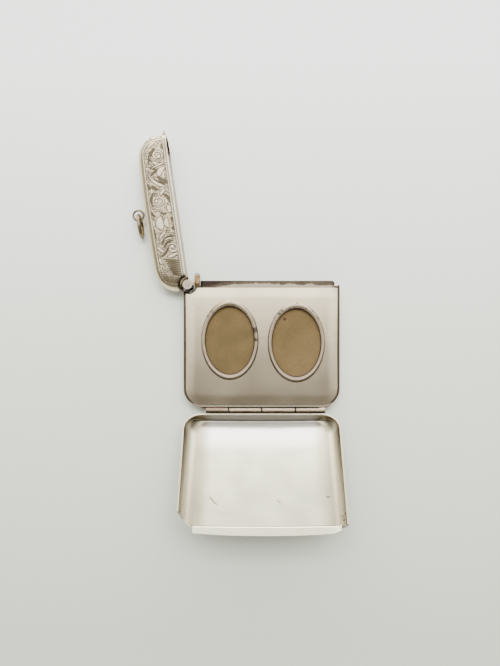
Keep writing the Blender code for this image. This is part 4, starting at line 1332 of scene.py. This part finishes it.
for side in ("left", "right"):
    low, high = box_mm(f"{side}_bezel")
    middle, half = middle_and_half(f"{side}_bezel")
    ring = turned(f"{side}_bezel", bezel_profile(half.y, low.z, high.z))
    ring.transform(Matrix.Translation((middle.x, middle.y, 0)) @ Matrix.Diagonal((half.x / half.y, 1, 1, 1)))
    finish_piece(f"{side}_bezel_ring", ring, f"{side} bezel silver", "polished_silver", "case", f"{side}_bezel")


# %% [markdown]
# The cards fill the empty frames where pictures would go. Old card never lies quite flat, so each
# one is an oval disc with rings of points, which let its middle stand a little higher.

# %% Cards
CARD_SHEET = 0.18
CARD_EDGE = 0.10
CARD_BULGE = 0.08
for side in ("left", "right"):
    middle, half = middle_and_half(f"{side}_card")
    surface = box_mm(f"{side}_card")[1].z - CARD_EDGE
    bm = bmesh.new()
    bmesh.ops.create_circle(bm, cap_ends=True, segments=96, radius=1)
    for _ in range(7):
        largest = max(bm.faces, key=lambda face: face.calc_area())
        bmesh.ops.inset_region(bm, faces=[largest], thickness=0.12, depth=0.0)
    bmesh.ops.scale(bm, vec=(half.x, half.y, 1), verts=bm.verts)
    for vert in bm.verts:
        share = 1 - (vert.co.x / half.x) ** 2 - (vert.co.y / half.y) ** 2
        vert.co.z = surface + CARD_BULGE * max(0.0, share)
    bmesh.ops.translate(bm, vec=(middle.x, middle.y, 0), verts=bm.verts)
    card = worked(mesh_of(face_out(bm, (0, 0, 1)), f"{side}_card"), thick(CARD_SHEET))
    finish_piece(f"{side}_card_paper", card, "brown card", "brown_card", "case", f"{side}_card")


# %% [markdown]
# ## The mouth's collar
# A flattened tube stands in the mouth, and the lid closes over it. Its front wall shows as the dark
# band above the plate. Its outline has wide round corners at the back and tight ones in front, and
# is raised row by row. One end of its free edge is worn round by years of the lid sliding over it.

# %% The collar
collar_low, collar_high = box_mm("mouth_collar")
BACK_CORNER = (4.0, 2.6)
FRONT_CORNER = (1.3, 0.85)
COLLAR_WEAR = 0.9
COLLAR_COLUMNS, COLLAR_ROWS = 420, 24


def collar_section():
    """The collar's outline seen from its open end."""
    middle, half = middle_and_half("mouth_collar")
    points = []
    for side_x, side_z, (wide, deep) in (
        (1, -1, BACK_CORNER), (1, 1, FRONT_CORNER), (-1, 1, FRONT_CORNER), (-1, -1, BACK_CORNER),
    ):
        for t in np.radians(np.linspace(0, 90, 16))[::-side_x * side_z]:
            x = side_x * (half.x - wide + wide * math.sin(t))
            z = side_z * (half.z - deep + deep * math.cos(t))
            points.append((middle.x + x, middle.z + z))
    return even_points(points + points[:1], COLLAR_COLUMNS)


def collar_mesh():
    outline = collar_section()

    def place(column, row):
        x, z = outline[column]
        past = min(1.0, max(0.0, (x - collar_high.x + COLLAR_WEAR) / COLLAR_WEAR))
        top = collar_high.y - COLLAR_WEAR * (1 - math.sqrt(1 - 0.96 * past ** 2))
        return (x, collar_low.y + (top - collar_low.y) * row / (COLLAR_ROWS - 1), z)

    bm, _ = wrapped_grid(COLLAR_COLUMNS, COLLAR_ROWS, place)
    bmesh.ops.remove_doubles(bm, verts=bm.verts, dist=SAME_POINT)
    return mesh_of(face_out(bm, (0, 0, 1)), "mouth_collar")


collar = worked(collar_mesh(), thick(THIN_SHEET), soft_edges(0.12))
finish_piece("mouth_collar_band", collar, "collar tarnish", "tarnished_silver", "case", "mouth_collar")

# %% [markdown]
# ## The cover's hinge
# Four drawn tubes share one pin along the base: two are soldered to the body's ledge and two to
# the cover. Each tube gets a small bevel at its ends, so that the joints between them read as fine
# dark lines.

# %% Hinge tubes
ALONG_X = Matrix.Rotation(math.radians(90), 4, "Y")
TO_COVER_HINGE = Matrix.Translation((0, cover_axis.y, cover_axis.z)) @ ALONG_X
COVER_KNUCKLE = 0.90
COVER_PIN = 0.34
RUNNING_GAP = 0.07
END_BEVEL = 0.08


def hinge_turned(name, near_low, bore, segments, low, high):
    """A tube or a rod on the cover's hinge. Its outline near its low end is mirrored to its high one."""
    profile = [(bore, low)] + [(radius, low + rise) for radius, rise in near_low]
    profile += [(radius, high - rise) for radius, rise in reversed(near_low)] + [(bore, high)]
    mesh = turned(name, profile, segments)
    mesh.transform(TO_COVER_HINGE)
    return mesh


softened = ((COVER_KNUCKLE - END_BEVEL, 0), (COVER_KNUCKLE - 0.3 * END_BEVEL, 0.3 * END_BEVEL),
            (COVER_KNUCKLE, END_BEVEL))
for node in ("body_knuckle_left", "cover_knuckle_left", "body_knuckle_right", "cover_knuckle_right"):
    low, high = box_mm(node)
    tube = hinge_turned(node, softened, COVER_PIN + RUNNING_GAP, 48, low.x, high.x)
    body = "front_cover" if node.startswith("cover") else "case"
    finish_piece(f"{node}_tube", tube, "hinge silver", "polished_silver", body, node)


# %% [markdown]
# One steel pin runs through all four tubes. It is the same lathe work without a bore, so the same
# helper makes it.

# %% The hinge's pin
low, high = box_mm("cover_hinge_pin")
pin = hinge_turned("cover_pin", ((COVER_PIN - END_BEVEL, 0), (COVER_PIN, END_BEVEL)), 0.0, 32, low.x, high.x)
finish_piece("cover_hinge_rod", pin, "pin steel", "satin_silver", "case", "cover_hinge_pin")

# %% [markdown]
# ## The thumb lip, the loop and the jump ring
# A nail catches the little wedge at the lid's free end. It is an outline raised over most of the
# case's thickness, and a bevel softens it.

# %% The thumb lip
THUMB_REACH = 1.3
THUMB_LENGTH = 4.4
THUMB_ROOT = 1.0
THUMB_TIP = 0.25
wall = half_width + SEAT_GAP
thumb_low = (FRONT - THUMB_LENGTH) / 2
thumb = wedge_mesh("thumb_lip", [
    (wall, LID_RIM), (wall + THUMB_REACH, LID_RIM + THUMB_TIP), (wall + THUMB_REACH, LID_RIM + 2 * THUMB_TIP),
    (wall + THUMB_REACH / 2, LID_RIM + THUMB_ROOT / 2 + THUMB_TIP), (wall, LID_RIM + THUMB_ROOT),
], thumb_low, thumb_low + THUMB_LENGTH)
thumb = worked(thumb, soft_edges(0.12, 3, 20))
finish_piece("thumb_lip_wedge", thumb, "thumb silver", "polished_silver", "lid", "thumb_lip")

# %% [markdown]
# At the lid's top a round wire loop stands on a small turned foot, and carries the jump ring. Wire
# bent to a ring is a circle spun round, and the foot is an outline spun the same way.

# %% The loop and its base
def ring_of_wire(name, radius, wire, steps, sides):
    turns = np.linspace(0, math.tau, sides, endpoint=False)
    return turned(name, [(radius + wire * math.cos(t), wire * math.sin(t)) for t in turns], steps)


ALONG_Y = Matrix.Rotation(math.radians(-90), 4, "X")
LOOP_RADIUS, LOOP_WIRE = 1.52, 0.33
loop_x, loop_y, foot_y = 0.92, 29.69, 27.32
base_profile = [(0, 0), (0.95, 0), (0.95, 0.12), (0.86, 0.22), (0.72, 0.28), (0.60, 0.36), (0.42, 0.40), (0, 0.40)]
base = turned("loop_base", base_profile, 48)
base.transform(Matrix.Translation((loop_x, foot_y, FRONT / 2)) @ ALONG_Y)
finish_piece("loop_foot", base, "ring silver", "polished_silver", "lid", "loop_base")
loop = ring_of_wire("ring_loop", LOOP_RADIUS, LOOP_WIRE, 72, 20)
loop.transform(Matrix.Translation((loop_x, loop_y, FRONT / 2)))
finish_piece("ring_loop_wire", loop, "ring silver", "polished_silver", "lid", "ring_loop")

# %% [markdown]
# The case hung from a watch chain by its jump ring. The ring lies across the loop, so it is turned
# by a quarter before it is moved to where it hangs.

# %% The jump ring
RING_RADIUS, RING_WIRE = 3.30, 0.55
ring_x, ring_z = loop_x - 3.11, 4.05
ring = ring_of_wire("jump_ring", RING_RADIUS, RING_WIRE, 96, 24)
ring.transform(Matrix.Translation((ring_x, loop_y, ring_z)) @ ALONG_Y)
finish_piece("jump_ring_wire", ring, "ring silver", "satin_silver", "jump_ring", "jump_ring")

# %% [markdown]
# ## The lid spring
# A leaf of brass is riveted inside the wall. Its head stands out of the mouth beside the collar and
# presses on the lid, so that the lid snaps open and shut. Its outline is given by stations: where
# its middle lies, how far beyond the mouth, and how wide it is there.

# %% The spring
spring_low, spring_high = box_mm("lid_spring")
SPRING_SHEET = 0.35
foot_x = SHEET + SEAT_GAP + SPRING_SHEET / 2 - half_width
head_x = 3.85 - half_width
STATIONS = (
    (foot_x, -15.5, 0.35), (foot_x, -9.5, 0.35), (head_x, -2.4, 0.35), (head_x, -1.2, 0.93),
    (head_x, 0.2, 1.40), (head_x, 2.15, 1.55), (head_x, 3.35, 1.55), (head_x, 3.7, 0.93),
)
outline = [(x + width / 2, mouth_y + rise) for x, rise, width in STATIONS]
outline += [(x - width / 2, mouth_y + rise) for x, rise, width in reversed(STATIONS)]
spring = worked(wedge_mesh("lid_spring", outline, spring_low.z, spring_high.z), soft_edges(0.08, 2, 20))
finish_piece("lid_spring_leaf", spring, "dull brass", "brass", "case", "lid_spring")

# %% [markdown]
# ## Parts that stay as they were packed
# The lid hinge's knuckles, the striker, the ledge and the rivets already have the right shape, so
# they only get their finishes.

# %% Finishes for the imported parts
PACKED = {
    "shell silver": ("backing_plate", "striker_plate"),
    "hinge silver": ("cover_hinge_bearer", "spring_rivet_upper", "spring_rivet_lower"),
    "lid hinge silver": ("lid_front_knuckle", "lid_back_knuckle", "lid_middle_knuckle"),
    "pin steel": ("lid_hinge_pin",),
}
for finish, nodes in PACKED.items():
    for node in nodes:
        for slot in frame["nodes"][node].material_slots:
            slot.material = FINISHES[finish]
    print(finish, "goes on", nodes)


# %% [markdown]
# ## Floor, light and camera
# The case lies on a sheet of pale paper, which grows lighter towards the top of the picture. That
# slow change is painted into the paper, because no lamp could give it without also changing the
# silver.

# %% The floor
FLOOR_REACH = 1.2
SHADE_REACH = 110.0
bm = bmesh.new()
bmesh.ops.create_grid(bm, x_segments=1, y_segments=1, size=FLOOR_REACH)
floor = add_object("floor", mesh_of(bm, "floor"))
tree = new_finish("pale paper")
fibres = noise(tree, place_nodes(tree), 0.8, 4.0, 0.6)
far = add_node(tree, "SeparateXYZ", {"Vector": place_nodes(tree)}).outputs["Y"]
far = add_node(tree, "MapRange", {"Value": far, "From Min": -SHADE_REACH, "From Max": SHADE_REACH}).outputs["Result"]
shade = ramp(tree, far, (0.10, (0.455, 0.47, 0.415)), (0.50, (0.615, 0.635, 0.57)), (0.90, (0.88, 0.91, 0.90)))
paper = mix(tree, times(tree, fibres, 0.05), shade, (0.45, 0.46, 0.43))
fill(tree, "Principled BSDF", {"Base Color": paper, "Roughness": 0.9, "Specular IOR Level": 0.1})
floor.data.materials.append(FINISHES["pale paper"])
print("floor", 2 * FLOOR_REACH, "m wide")

# %% [markdown]
# Silver shows whatever stands round it, so its brightness is a matter of what it can see. The room
# is a world whose brightness depends only on direction: a bright soft window beyond the top of the
# picture, a paler ceiling above, a dim room beyond the bottom and the sides, and a bright band low
# down by the floor.

# %% The room
world = bpy.data.worlds.new("studio")
bpy.context.scene.world = world
world.use_nodes = True
tree = world.node_tree
way = add_node(tree, "SeparateXYZ", {"Vector": add_node(tree, "TexCoord").outputs["Generated"]}).outputs
side = maths(tree, "ABSOLUTE", way["X"])
tilted = plus(tree, way["Y"], times(tree, side, 0.22))
forward = plus(tree, soft_step(tree, tilted, 0.03, 0.17, 0.0, 2.75), soft_step(tree, tilted, -0.22, 0.05, 0.17, 0.54))
forward = plus(tree, forward, soft_step(tree, side, 0.09, 0.28, 0.0, 0.26))
low_wall = soft_step(tree, way["Z"], 0.19, 0.275, 3.2, 0.0)
ceiling = soft_step(tree, way["Z"], 0.30, 0.80, 0.60, 1.0)
light = times(tree, forward, plus(tree, ceiling, low_wall))
light = times(tree, light, soft_step(tree, side, 0.28, 0.75, 1.0, 0.18))
colour = mix(tree, soft_step(tree, way["Y"], -0.2, 0.2), (1.0, 0.93, 0.82), (1.0, 0.985, 0.935))
fill(tree, "Background", {"Color": colour, "Strength": light})
print("world nodes", len(tree.nodes))

# %% [markdown]
# Three soft lamps light the paper and the cards. The metal can't see them, so each can be set
# without spoiling the silver. The small one overhead casts the soft shadow that lies under the
# cover's free end.

# %% Lamps
def soft_lamp(name, place, aim, size, power, tint):
    lamp = bpy.data.lights.new(name, "AREA")
    lamp.shape = "RECTANGLE"
    lamp.size, lamp.size_y = size
    lamp.energy = power
    lamp.color = tint
    thing = add_object(name, lamp)
    thing.location = place
    thing.visible_glossy = False
    thing.rotation_euler = (Vector(aim) - Vector(place)).to_track_quat("-Z", "Y").to_euler()
    print(name, "lamp of", power, "W")


soft_lamp("window", (0.10, 0.40, 0.62), (0, 0, 0), (1.2, 0.7), 3.0, (1, 1, 0.99))
soft_lamp("overhead", (0.02, 0.19, 0.62), (0, -0.03, 0), (0.30, 0.16), 5.9, (1, 1, 0.985))
soft_lamp("fill", (0.0, -0.55, 0.50), (0, 0, 0), (1.2, 0.5), 2.0, (1, 1, 0.995))

# %% [markdown]
# The camera looks straight down from 25 cm. So near, the end of the cover that stands up towards it
# looks larger than the hinge, and the open lid shows a little of its height.

# %% The camera
camera = add_object("camera", bpy.data.cameras.new("camera"))
camera.data.lens = 43.98
camera.data.sensor_width = 36.0
camera.data.shift_x = -0.0075
camera.data.clip_start = 0.01
camera.location = (-0.00196, 0.00376, 0.24695)
bpy.context.scene.camera = camera
print("camera at", tuple(camera.location))
